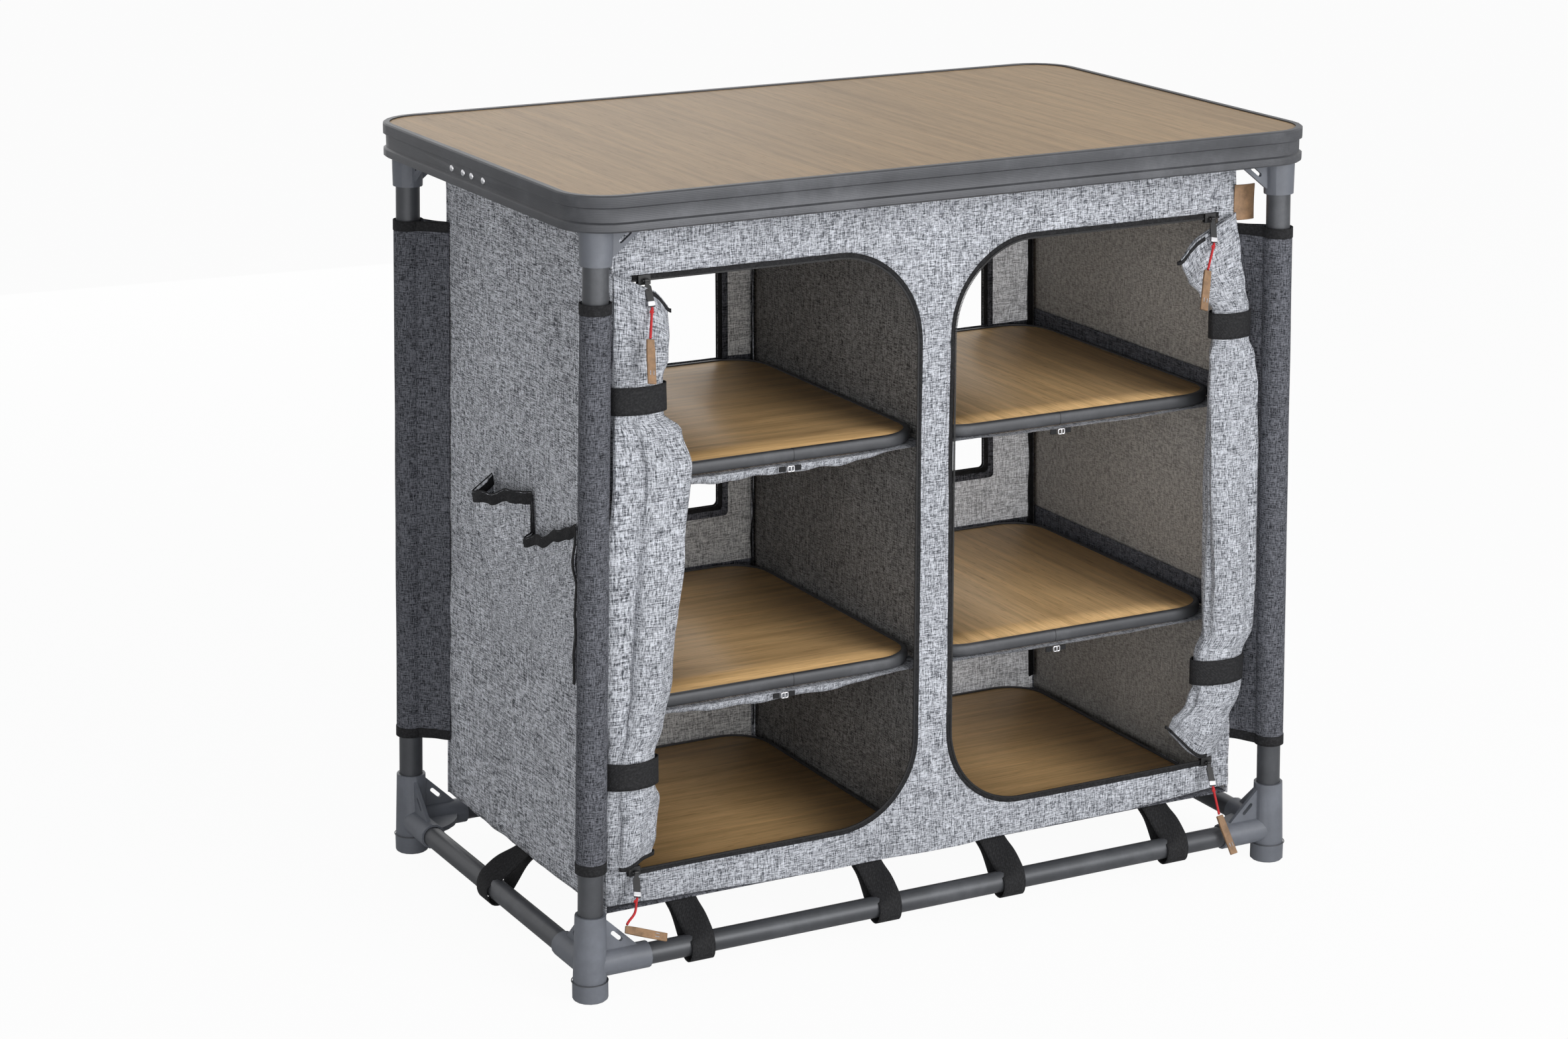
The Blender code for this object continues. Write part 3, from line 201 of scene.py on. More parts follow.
def add_bump(tree, shader, height, strength, distance):
    made = add_node(tree, "ShaderNodeBump")
    made.inputs["Strength"].default_value = strength
    made.inputs["Distance"].default_value = distance
    tree.links.new(height, made.inputs["Height"])
    tree.links.new(made.outputs["Normal"], shader.inputs["Normal"])


def yarn_value(tree, along, across, detail, uv, share):
    """Threads both ways, as two noises drawn out along the weft and the warp, added by a share."""
    weft_scale = (along, across, 1) if uv else (along, along, across)
    warp_scale = (across, along, 1) if uv else (across, across, along)
    weft = noise_value(tree, coordinates(tree, weft_scale, uv), detail=detail)
    warp = noise_value(tree, coordinates(tree, warp_scale, uv), detail=detail)
    return math_value(tree, "MULTIPLY", math_value(tree, "ADD", weft, warp), share)


def heather_cloth(name, dark, light, uv=False, contrast=0.060, glow=0.0):
    """Linen-like weave: fine and thick yarns, light and dark, both ways; glow is painted light: the cloth
    gives off its own colour as emission.
    """
    middle = tuple((a + b) / 2 for a, b in zip(dark, light))
    mat, tree, shader = plain_material(name, middle, 0.92)
    fine = yarn_value(tree, 260, 1700, 2.5, uv, 0.25)
    thick = yarn_value(tree, 80, 1150, 2, uv, 0.25)
    yarns = math_value(tree, "ADD", fine, thick)
    colour = ramp_colour(tree, yarns, ((0.5 - contrast, dark), (0.5, middle), (0.5 + contrast, light)))
    cloud = noise_value(tree, coordinates(tree, (9, 9, 6), uv), detail=3)
    shade = ramp_colour(tree, cloud, ((0.3, (0.90, 0.90, 0.90)), (0.7, (1.06, 1.06, 1.06))))
    cloth = mixed_colour(tree, 1.0, colour, shade, "MULTIPLY")
    tree.links.new(cloth, shader.inputs["Base Color"])
    # painted light: the cloth glows with its own colour, though it is no lamp
    if glow:
        tree.links.new(cloth, shader.inputs["Emission Color"])
        shader.inputs["Emission Strength"].default_value = glow
    shader.inputs["Specular IOR Level"].default_value = 0.15
    add_bump(tree, shader, yarns, 0.55, 0.0006)
    return mat


def lining_cloth(name, dark, light):
    """Coated back of the body cloth: smoother, browner, with the weave showing faintly."""
    middle = tuple((a + b) / 2 for a, b in zip(dark, light))
    mat, tree, shader = plain_material(name, middle, 0.75)
    yarns = yarn_value(tree, 160, 900, 2, False, 0.5)
    colour = ramp_colour(tree, yarns, ((0.40, dark), (0.60, light)))
    tree.links.new(colour, shader.inputs["Base Color"])
    shader.inputs["Specular IOR Level"].default_value = 0.2
    add_bump(tree, shader, yarns, 0.25, 0.0004)
    return mat


def webbing_cloth(name, colour, pitch, uv=True):
    """Ribbed tape: fine cross ribs with a herringbone wobble."""
    mat, tree, shader = plain_material(name, colour, 0.8)
    ribs = wave_value(tree, coordinates(tree, (1, 1, 1), uv), bands_every(pitch), distortion=1.5, detail=1)
    lint = noise_value(tree, coordinates(tree, (420, 420, 420), uv), detail=3)
    tone = ramp_colour(tree, lint, ((0.42, colour), (0.75, shaded(colour, 2.2, 0.003))))
    shader.inputs["Specular IOR Level"].default_value = 0.18
    tree.links.new(tone, shader.inputs["Base Color"])
    add_bump(tree, shader, ribs, 0.5, 0.0003)
    return mat


def coated_metal(name, colour, roughness, fine_lines=None):
    """Satin powder coat with a fine orange peel and faint scuffs."""
    mat, tree, shader = plain_material(name, colour, roughness, 0.35)
    peel = noise_value(tree, coordinates(tree, (1, 1, 1)), scale=1600, detail=2)
    scuff = noise_value(tree, coordinates(tree, (14, 14, 14)), detail=6, roughness=0.75)
    tone = ramp_colour(tree, scuff, ((0.32, shaded(colour, 0.82)), (0.52, colour),
                                     (0.74, shaded(colour, 1.35, 0.01))))
    tree.links.new(tone, shader.inputs["Base Color"])
    gloss = add_node(tree, "ShaderNodeMapRange")
    gloss.inputs["To Min"].default_value = roughness - 0.08
    gloss.inputs["To Max"].default_value = roughness + 0.12
    tree.links.new(scuff, gloss.inputs["Value"])
    tree.links.new(gloss.outputs["Result"], shader.inputs["Roughness"])
    height = peel
    if fine_lines:
        lines = wave_value(tree, coordinates(tree, (1, 1, 1)), bands_every(fine_lines), "Z")
        height = math_value(tree, "ADD", math_value(tree, "MULTIPLY", peel, 0.3), lines)
    add_bump(tree, shader, height, 0.25, 0.0002)
    return mat


def moulded_plastic(name, colour):
    """Blue-grey nylon with a spark-eroded grain and paler rubbed patches."""
    mat, tree, shader = plain_material(name, colour, 0.5)
    grain = noise_value(tree, coordinates(tree, (1, 1, 1)), scale=1100, detail=3)
    patch = noise_value(tree, coordinates(tree, (22, 22, 22)), detail=5, roughness=0.7)
    tone = ramp_colour(tree, patch, ((0.3, shaded(colour, 0.86)), (0.5, colour),
                                     (0.72, shaded(colour, 1.25))))
    tree.links.new(tone, shader.inputs["Base Color"])
    add_bump(tree, shader, grain, 0.22, 0.0003)
    return mat


def oak_wood(name, along_x, tint):
    """Oak foil: wide wavy figure, fine fibres and short dark pores along the grain."""
    mat, tree, shader = plain_material(name, tint, 0.5)

    def grain_place(across, along, turn=0):
        scale = (along, across, along) if along_x else (across, along, along)
        return coordinates(tree, scale, turn=(0, 0, turn))

    figure_place = grain_place(9, 1.1, math.pi / 2 if along_x else 0)
    figure = wave_value(tree, figure_place, 0.9, "X", distortion=14, detail=4, grit=(1.1, 0.62))
    fibres = noise_value(tree, grain_place(620, 14), detail=4, roughness=0.7)
    pores = noise_value(tree, grain_place(900, 34), detail=2)
    boards = noise_value(tree, grain_place(5.5, 0.35), detail=1)
    streaks = noise_value(tree, grain_place(95, 2.6), detail=6, roughness=0.62, distortion=0.25)
    dark = tuple(channel * shade for channel, shade in zip(tint, (0.74, 0.69, 0.62)))
    base = ramp_colour(tree, figure, ((0.0, tint), (0.45, shaded(tint, 1.28)), (0.85, tint), (1.0, dark)))
    fine = ramp_colour(tree, fibres, ((0.34, (0.74, 0.70, 0.64)), (0.6, (1.06, 1.05, 1.03))))
    spots = ramp_colour(tree, pores, ((0.30, (0.50, 0.42, 0.33)), (0.39, (1.0, 1.0, 1.0))))
    wide = ramp_colour(tree, boards, ((0.36, (0.86, 0.84, 0.80)), (0.62, (1.10, 1.09, 1.06))))
    streak = ramp_colour(tree, streaks, ((0.34, (0.70, 0.67, 0.62)), (0.52, (1.0, 1.0, 1.0)),
                                         (0.68, (1.22, 1.20, 1.16))))
    colour = mixed_colour(tree, 0.24, tint, base)
    for share, layer in ((0.62, streak), (0.65, fine), (0.8, spots), (0.6, wide)):
        colour = mixed_colour(tree, share, colour, layer, "MULTIPLY")
    tree.links.new(colour, shader.inputs["Base Color"])
    shader.inputs["Specular IOR Level"].default_value = 0.3
    shader.inputs["Coat Weight"].default_value = 0.05
    shader.inputs["Coat Roughness"].default_value = 0.3
    add_bump(tree, shader, math_value(tree, "ADD", fibres, pores), 0.18, 0.0003)
    return mat


def leather(name, colour):
    """Vegetable-tanned leather: pebbled grain, darker in the creases."""
    mat, tree, shader = plain_material(name, colour, 0.58)
    cells = add_node(tree, "ShaderNodeTexVoronoi", feature="DISTANCE_TO_EDGE")
    cells.inputs["Scale"].default_value = 900
    tree.links.new(coordinates(tree, (1, 1, 1)), cells.inputs["Vector"])
    cloud = noise_value(tree, coordinates(tree, (70, 70, 70)), detail=5, roughness=0.7)
    tone = ramp_colour(tree, cloud, ((0.32, shaded(colour, 0.62)), (0.68, shaded(colour, 1.3))))
    tree.links.new(tone, shader.inputs["Base Color"])
    add_bump(tree, shader, cells.outputs["Distance"], 0.3, 0.0003)
    return mat


def twisted_cord(name, colour, pitch):
    """Polyester cord: slanting strands, with painted shade darkening the grooves where they meet."""
    mat, tree, shader = plain_material(name, colour, 0.7)
    strands = wave_value(tree, coordinates(tree, (1, 1, 1)), bands_every(pitch))
    # painted shade: darker where the strands' bump is low, in the grooves between them
    tone = ramp_colour(tree, strands, ((0.1, shaded(colour, 0.55)), (0.6, colour)))
    tree.links.new(tone, shader.inputs["Base Color"])
    add_bump(tree, shader, strands, 0.6, 0.0003)
    return mat


def bright_metal(name, colour, roughness):
    """Plated steel, brushed faintly upwards."""
    mat, tree, shader = plain_material(name, colour, roughness, 1.0)
    brush = noise_value(tree, coordinates(tree, (300, 300, 1500)), detail=3)
    add_bump(tree, shader, brush, 0.1, 0.0002)
    return mat


# the dark and the light yarns of each cloth
LIGHT_YARNS = ((0.050, 0.054, 0.064), (0.62, 0.64, 0.69))
# the side cloth, also used on the pocket, is the light heather painted lighter to make up for the shade on
# the sides
SIDE_YARNS_PAINTED_LIT = ((0.050, 0.053, 0.062), (0.76, 0.775, 0.825))
DARK_YARNS = ((0.010, 0.011, 0.014), (0.175, 0.180, 0.205))
LIGHT_HEATHER = heather_cloth("light heather", *LIGHT_YARNS)
LIGHT_HEATHER_UV = heather_cloth("light heather by length", *LIGHT_YARNS, uv=True)
SIDE_HEATHER_PAINTED_LIT = heather_cloth("side heather painted lit", *SIDE_YARNS_PAINTED_LIT, contrast=0.044)
SIDE_HEATHER_PAINTED_LIT_UV = heather_cloth("side heather painted lit by length", *SIDE_YARNS_PAINTED_LIT, uv=True, contrast=0.044)
DARK_HEATHER = heather_cloth("charcoal heather", *DARK_YARNS, contrast=0.070)
DARK_HEATHER_UV = heather_cloth("charcoal heather by length", *DARK_YARNS, uv=True, contrast=0.055)
LINING = lining_cloth("body lining", (0.20, 0.19, 0.18), (0.52, 0.50, 0.47))
# painted light: both back linings glow to lift their shadow, and the left copy is darker with less glow,
# which is painted shade
BACK_LINING = {1: heather_cloth("back lining right with painted glow", (0.17, 0.17, 0.175), (0.66, 0.66, 0.68), glow=0.37),
               -1: heather_cloth("back lining left with painted shade and glow", (0.12, 0.118, 0.116), (0.52, 0.51, 0.50), glow=0.16)}
# the divider is the light heather painted darker: painted shade of the bays on either side
DIVIDER_CLOTH_PAINTED_SHADE = heather_cloth("divider heather painted shaded", (0.030, 0.029, 0.029), (0.33, 0.325, 0.32))
BINDING = webbing_cloth("black binding", (0.012, 0.012, 0.013), 0.0011, uv=False)
WEBBING = webbing_cloth("black webbing", (0.014, 0.014, 0.015), 0.0016)
TUBE = coated_metal("tube coat", (0.066, 0.069, 0.076), 0.42)
RIM = coated_metal("rim coat", (0.066, 0.068, 0.075), 0.46, fine_lines=0.0016)
SHELF_RIM = coated_metal("shelf rim coat", (0.064, 0.066, 0.072), 0.5)
PLASTIC = moulded_plastic("joint nylon", (0.122, 0.131, 0.152))
WORKTOP_OAK = oak_wood("worktop oak", False, (0.480, 0.325, 0.172))
SHELF_OAK_X = oak_wood("shelf oak along the width", True, (0.700, 0.455, 0.214))
SHELF_OAK_Y = oak_wood("shelf oak along the depth", False, (0.750, 0.497, 0.244))
LEATHER = leather("brown leather", (0.27, 0.158, 0.082))
RED_CORD = twisted_cord("red cord", (0.62, 0.025, 0.030), 0.0011)
ZIP_BLACK = moulded_plastic("zip black", (0.013, 0.013, 0.014))
STEEL = bright_metal("bright steel", (0.62, 0.62, 0.64), 0.28)
THREAD = webbing_cloth("grey thread", (0.30, 0.30, 0.32), 0.0008, uv=False)


# making pieces

def placed(name, data, body, stands_for=()):
    """Puts a piece in the scene, on its body and for the nodes that it stands for."""
    obj = bpy.data.objects.new(name, data)
    bpy.context.scene.collection.objects.link(obj)
    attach(obj, body)
    if stands_for:
        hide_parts(*stands_for)
    return obj


def finished(name, bm, material, body, stands_for=(), wall=None, bevel=None, sharp=40):
    """A piece from a bmesh, with a wall about the middle of its sheet or a bevel where asked."""
    mesh = bpy.data.meshes.new(name)
    bm.to_mesh(mesh)
    bm.free()
    mesh.materials.append(material)
    mesh.shade_smooth()
    mesh.set_sharp_from_angle(angle=math.radians(sharp))
    obj = placed(name, mesh, body, stands_for)
    if wall:
        step = obj.modifiers.new("wall", "SOLIDIFY")
        step.thickness = wall
        step.offset = 0
    if bevel:
        step = obj.modifiers.new("edges", "BEVEL")
        step.width = bevel
        step.segments = 2
        step.limit_method = "ANGLE"
        step.angle_limit = math.radians(35)
        step.harden_normals = False
    return obj


def on_cupboard(name, bm, material, stands_for=(), wall=None, bevel=None):
    return finished(name, bm, material, "cupboard", stands_for, wall, bevel)


def dressed_node(node, material, body, bevel=0.0004):
    """A merged, smoothed copy of a CAD node with softened edges, in its place."""
    source = bpy.data.objects[node]
    bm = bmesh.new()
    bm.from_mesh(source.data)
    bm.transform(source.matrix_world)
    bmesh.ops.remove_doubles(bm, verts=bm.verts, dist=1e-5)
    bmesh.ops.dissolve_limit(bm, angle_limit=math.radians(0.4), verts=bm.verts, edges=bm.edges)
    return finished(node + "_skin", bm, material, body, (node,), bevel=bevel, sharp=32)


def bent_grid(columns, rows, place, size, closed=False):
    """A grid put point by point where place(u, v) says, with a UV map in metres."""
    bm = bmesh.new()
    cloth = bm.loops.layers.uv.new("cloth")
    bmesh.ops.create_grid(bm, x_segments=columns, y_segments=rows, size=1)
    flat = {}
    for vert in bm.verts:
        column = round((vert.co.x + 1) / 2 * columns)
        row = round((vert.co.y + 1) / 2 * rows)
        flat[vert] = (column / columns, row / rows)
    for face in bm.faces:
        for loop in face.loops:
            u, v = flat[loop.vert]
            loop[cloth].uv = (u * size[0], v * size[1])
    for vert, (u, v) in flat.items():
        vert.co = place(u, v)
    if closed:
        bmesh.ops.remove_doubles(bm, verts=bm.verts, dist=1e-6)
    bmesh.ops.recalc_face_normals(bm, faces=bm.faces)
    return bm


def outline_sheet(loops):
    """A flat filled outline with holes."""
    curve = bpy.data.curves.new("outline", "CURVE")
    curve.dimensions = "2D"
    curve.fill_mode = "BOTH"
    for loop in loops:
        spline = curve.splines.new("POLY")
        spline.points.add(len(loop) - 1)
        spline.use_cyclic_u = True
        for point, (u, v) in zip(spline.points, loop):
            point.co = (u, v, 0, 1)
    drawn = bpy.data.objects.new("outline", curve)
    bpy.context.scene.collection.objects.link(drawn)
    bpy.context.view_layer.update()
    mesh = bpy.data.meshes.new_from_object(drawn.evaluated_get(bpy.context.evaluated_depsgraph_get()))
    bpy.data.objects.remove(drawn, do_unlink=True)
    bm = bmesh.new()
    bm.from_mesh(mesh)
    bpy.data.meshes.remove(mesh)
    bmesh.ops.remove_doubles(bm, verts=bm.verts, dist=1e-6)
    return bm


def cut_in_cells(bm, step):
    """Cuts a flat sheet by evenly spaced planes, so that it can crease."""
    for axis in (0, 1):
        places = [vert.co[axis] for vert in bm.verts]
        low = min(places)
        high = max(places)
        count = max(1, round((high - low) / step))
        across = Vector((1, 0, 0) if axis == 0 else (0, 1, 0))
        for k in range(1, count):
            at = low + (high - low) * k / count
            bmesh.ops.bisect_plane(bm, geom=bm.verts[:] + bm.edges[:] + bm.faces[:],
                                   plane_co=across * at, plane_no=across, dist=1e-6)


def creased_sheet(loops, lay, step=GRID_STEP):
    """A cut outline laid in space, with its UV map in metres."""
    bm = outline_sheet(loops)
    cut_in_cells(bm, step)
    cloth = bm.loops.layers.uv.verify()
    for face in bm.faces:
        for loop in face.loops:
            loop[cloth].uv = (loop.vert.co.x, loop.vert.co.y)
    for vert in bm.verts:
        vert.co = lay(vert.co.x, vert.co.y)
    bmesh.ops.recalc_face_normals(bm, faces=bm.faces)
    return bm


def rounded(corners, radii, steps):
    """A closed outline with each corner rounded to its own radius; zero keeps it square."""
    points = []
    count = len(corners)
    for i, corner in enumerate(corners):
        here = Vector(corner)
        if not radii[i]:
            points.append(tuple(here))
            continue
        back = (Vector(corners[i - 1]) - here).normalized()
        ahead = (Vector(corners[(i + 1) % count]) - here).normalized()
        half = back.angle(ahead) / 2
        centre = here + (back + ahead).normalized() * radii[i] / math.sin(half)
        start = here + back * radii[i] / math.tan(half) - centre
        end = here + ahead * radii[i] / math.tan(half) - centre
        sweep = math.atan2(start.x * end.y - start.y * end.x, start.dot(end))
        for k in range(steps + 1):
            points.append(tuple(centre + Matrix.Rotation(sweep * k / steps, 2) @ start))
    return points


def rectangle(low_u, low_v, high_u, high_v):
    return [(low_u, low_v), (high_u, low_v), (high_u, high_v), (low_u, high_v)]


def rounded_box(half_x, half_y, radius, centre, steps=10):
    cx, cy = centre
    corners = rectangle(cx - half_x, cy - half_y, cx + half_x, cy + half_y)
    return rounded(corners, [radius] * 4, steps)


def swept_ring(outline, section, z):
    """A closed section, given as outward and up, carried round a closed outline."""
    count = len(outline)
    depth = len(section)

    def place(u, v):
        i = round(u * count) % count
        here = Vector(outline[i])
        before = Vector(outline[i - 1])
        after = Vector(outline[(i + 1) % count])
        along = ((here - before).normalized() + (after - here).normalized()).normalized()
        outward, up = section[round(v * depth) % depth]
        half_turn = (after - here).angle(here - before, 0) / 2
        point = here + Vector((along.y, -along.x)) * outward / math.cos(half_turn)
        return (point.x, point.y, z + up)

    return bent_grid(count, depth, place, (1, 1), closed=True)


def resampled(points, pitch):
    """Points at an even pitch along a polyline, each with the direction there."""
    out = []
    left = pitch / 2
    for start, end in zip(points, points[1:]):
        run = Vector(end) - Vector(start)
        length = run.length
        if not length:
            continue
        while left <= length:
            out.append((Vector(start) + run * left / length, run / length))
            left += pitch
        left -= length
    return out


def add_block(bm, size, place):
    """Adds a box of a size at a place, which is a matrix or a point."""
    turn = place if isinstance(place, Matrix) else Matrix.Translation(place)
    bmesh.ops.create_cube(bm, size=1, matrix=turn @ Matrix.Diagonal((*size, 1)))


def row_of_blocks(points, pitch, size, up, lift=0.0):
    """Small blocks along a path, such as zip teeth or stitches."""
    bm = bmesh.new()
    for place, along in resampled(points, pitch):
        side = up.cross(along).normalized()
        turn = Matrix((along, side, along.cross(side))).transposed().to_4x4()
        turn.translation = place + up * lift
        add_block(bm, size, turn)
    return bm


def wire(name, points, radius, material, body, stands_for=(), closed=False):
    """A round cord on a smooth path, as a curve object."""
    curve = bpy.data.curves.new(name, "CURVE")
    curve.dimensions = "3D"
    curve.bevel_depth = radius
    curve.bevel_resolution = 3
    curve.use_fill_caps = True
    curve.materials.append(material)
    spline = curve.splines.new("POLY")
    spline.points.add(len(points) - 1)
    spline.use_cyclic_u = closed
    for point, place in zip(spline.points, points):
        point.co = (*place, 1)
    return placed(name, curve, body, stands_for)


def path_length(points):
    return sum((after - here).length for here, after in zip(points, points[1:]))


def sheet_width(place, columns):
    """Mean width of a bent sheet, measured across it at nine heights."""
    total = 0
    for row in range(9):
        total += path_length([Vector(place(k / columns, row / 8)) for k in range(columns + 1)])
    return total / 9


def outline_area(points):
    """Area inside a closed flat outline."""
    pairs = zip(points, points[1:] + points[:1])
    return abs(sum(a[0] * b[1] - a[1] * b[0] for a, b in pairs)) / 2


# the hard frame

def dress_frame():
    """Tubes, corner joints and worktop, from the CAD's own solids."""
    for name_y in ("front", "back"):
        for name_x in ("left", "right"):
            dressed_node(f"leg_{name_y}_{name_x}", TUBE, "cupboard")
            for level in ("base", "top"):
                joint = f"{level}_joint_{name_y}_{name_x}"
                dressed_node(joint, PLASTIC, "cupboard", 0.0006)
        for level in ("base", "top"):
            dressed_node(f"{level}_rail_{name_y}", TUBE, "cupboard")
    for name_x in ("left", "right"):
        for level in ("base", "top"):
            dressed_node(f"{level}_rail_{name_x}", TUBE, "cupboard")
    dressed_node("worktop_rim", RIM, "worktop", 0.0005)
    dressed_node("worktop_board", WORKTOP_OAK, "worktop", 0.0003)


FOOT_RING_R = 0.0181
FOOT_RING_Z = 0.0195
FOOT_RING_STEPS = 40


def foot_rings():
    """The thin parting line round the top of each foot."""
    for name_y, sy in ROWS:
        for name_x, sx in SIDES:
            x = sx * (LEG_X + LEG_SPLAY * (BASE_RAIL_Z - FOOT_RING_Z))
            ring = []
            for k in range(FOOT_RING_STEPS):
                angle = math.tau * k / FOOT_RING_STEPS
                ring.append((x + FOOT_RING_R * math.cos(angle), sy * LEG_Y + FOOT_RING_R * math.sin(angle),
                             FOOT_RING_Z))
            wire(f"foot_ring_{name_y}_{name_x}", ring, 0.0005, SHELF_RIM, "cupboard",
                 closed=True)


RIVET_FACE_X = -0.4132
RIVET_Z = 0.7805
RIVET_PLACES_Y = (-0.0325, -0.0045, 0.0165, 0.0445)
RIVET_R = 0.0037
RIVET_DOME = 0.0019


def rim_rivets():
    """Four bright domed rivets over the rim's joint on the left side."""
    for index, y in enumerate(RIVET_PLACES_Y):
        def place(u, v, y=y):
            angle = math.tau * u
            lean = math.pi / 2 * v
            radius = RIVET_R * math.cos(lean)
            return (RIVET_FACE_X - RIVET_DOME * math.sin(lean), y + radius * math.cos(angle),
                    RIVET_Z + radius * math.sin(angle))
        bm = bent_grid(20, 6, place, (1, 1), closed=True)
        bmesh.ops.holes_fill(bm, edges=bm.edges[:], sides=24)
        bmesh.ops.recalc_face_normals(bm, faces=bm.faces)
        finished(f"rim_rivet_{index + 1}", bm, STEEL, "worktop")


# shelves

SHELF_TOP_Z = {"lower": 0.0855, "middle": 0.2840, "upper": 0.5170}
HUNG_SHELVES = ("middle", "upper")
SHELF_THICKNESS = 0.0125
SHELF_HALF_X = 0.175
SHELF_HALF_Y = 0.190
SHELF_CENTRE_X = 0.180
SHELF_CORNER_R = 0.048
SHELF_RIM_WIDTH = 0.0062
SHELF_LIP = 0.0012
SHELF_OVERLAP = 0.0006
# where the two ends of a shelf's rim meet, left and right column
RIM_JOIN_X = {-1: 0.156, 1: 0.153}


def shelf_section():
    """Half-round rim with a small lip over the board."""
    half = SHELF_THICKNESS / 2
    flat = -SHELF_RIM_WIDTH * 0.55
    points = [(-SHELF_RIM_WIDTH, -SHELF_LIP), (-SHELF_RIM_WIDTH, 0), (flat, 0)]
    for k in range(9):
        angle = math.pi / 2 - math.pi * k / 8
        points.append((-SHELF_RIM_WIDTH * 0.45 * (1 - math.cos(angle)), -half + half * math.sin(angle)))
    points += [(flat, -SHELF_THICKNESS), (-SHELF_RIM_WIDTH, -SHELF_THICKNESS),
               (-SHELF_RIM_WIDTH, -SHELF_THICKNESS + SHELF_LIP), (-SHELF_RIM_WIDTH * 0.8, -half)]
    return points


def shelves():
    """Six foiled boards, each in its dark rim."""
    section = shelf_section()
    for name_x, sx in SIDES:
        for level, top_z in SHELF_TOP_Z.items():
            body = f"shelf_{level}_{name_x}"
            centre = (sx * SHELF_CENTRE_X, 0)
            outline = rounded_box(SHELF_HALF_X, SHELF_HALF_Y, SHELF_CORNER_R, centre, 12)
            ring = swept_ring(outline, section, top_z)
            finished(f"shelf_rim_{level}_{name_x}", ring, SHELF_RIM, body, (body,))
            inset = SHELF_RIM_WIDTH - SHELF_OVERLAP
            board = outline_sheet([rounded_box(SHELF_HALF_X - inset, SHELF_HALF_Y - inset,
                                               SHELF_CORNER_R - inset, centre, 12)])
            for vert in board.verts:
                vert.co.z = top_z - SHELF_THICKNESS / 2
            grain = SHELF_OAK_Y if name_x == "right" and level in HUNG_SHELVES else SHELF_OAK_X
            finished(f"shelf_board_{level}_{name_x}", board, grain, body, (body,),
                     wall=SHELF_THICKNESS - 2 * SHELF_LIP)
            join_x = sx * RIM_JOIN_X[sx]
            join = [(join_x, -SHELF_HALF_Y - outward, top_z + up) for outward, up in section[1:13]]
            wire(f"shelf_rim_join_{level}_{name_x}", join, 0.0003, ZIP_BLACK, body)


# cloth walls; a lining or binding is set off from the middle of its cloth, outwards or inwards

WALL_HEAD_Z = BODY_TOP_Z - 0.001
LINING_FOOT_Z = BODY_HEM_Z + 0.004
LINING_HEAD_Z = BODY_TOP_Z - 0.006
LINING_WALL = 0.0005
SIDE_LINING_OFF = -0.0011
BACK_LINING_OFF = -0.0026
HEM_CORNER_RISE = 0.02
HEAD_CORNER_R = 0.016


def door_outline(side, grow):
    """A door's opening, grown outwards: square at the hinge, rounded towards the divider."""
    inner = side * (DOOR_INNER_X - grow)
    outer = side * DOOR_OUTER_X
    corners = [(outer, DOOR_SILL_Z - grow), (inner, DOOR_SILL_Z - grow),
               (inner, DOOR_HEAD_Z + grow), (outer, DOOR_HEAD_Z + grow)]
    radii = [0, DOOR_SILL_R + grow, DOOR_HEAD_R + grow, 0]
    return rounded(corners, radii, 24)


def front_depth(x, z):
    """How far the front cloth stands off its plane: soft billows and pulls towards its corners."""
    wave = waver(x * 9, z * 7, 3.1) * 0.0022
    wave += waver(x * 30 + z * 18, z * 22, 9.7) * 0.0009
    head = bump(z, 0.745, 0.035) * waver(x * 26, 1.3, 0.4) * 0.0035
    hem = bump(z, BODY_HEM_Z + 0.01, 0.03) * waver(x * 21, 7.3, 2.2) * 0.0030
    return wave + head + hem


def lay_front(x, z, off=0.0):
    return Vector((splayed_x(x, z), ZIP_Y + 0.0004 - front_depth(x, z) - off, z))


# how far the front hem rises at even steps from left to right
HEM_RISES = (0.0090, 0.0032, 0.0009, 0.0, 0.0018, 0.0027, 0.0090)


def front_cloth():
    """The front wall with its two door openings and its slightly scalloped hem."""
    last = len(HEM_RISES) - 1
    hem = [(-BODY_HALF_X + 2 * BODY_HALF_X * i / last, BODY_HEM_Z + rise) for i, rise in enumerate(HEM_RISES)]
    above_hem = hem[0][1] + HEM_CORNER_RISE
    corners = [(BODY_HALF_X, above_hem), (BODY_HALF_X, WALL_HEAD_Z), (-BODY_HALF_X, WALL_HEAD_Z),
               (-BODY_HALF_X, above_hem)]
    outline = hem + rounded(corners, [0, HEAD_CORNER_R, HEAD_CORNER_R, 0], 6)
    bm = creased_sheet([outline, door_outline(-1, 0), door_outline(1, 0)], lay_front, 0.007)
    on_cupboard("front_cloth", bm, LIGHT_HEATHER, ("front_panel",), wall=CLOTH)


def side_depth(y, z, side):
    """How far a side cloth billows, more at its head, foot and edges."""
    wave = waver(y * 8, z * 5, 5.5 * side) * 0.0030
    wave += waver(y * 34, z * 9, 2.5 * side) * 0.0012
    head = bump(z, 0.75, 0.05) * waver(y * 40, 0.7, side) * 0.0040
    foot = bump(z, 0.09, 0.05) * waver(y * 28, 4.7, side) * 0.0030
    edge = bump(abs(y), INNER_HALF_Y, 0.04) * waver(1.2, z * 30, side) * 0.0022
    return wave + head + foot + edge


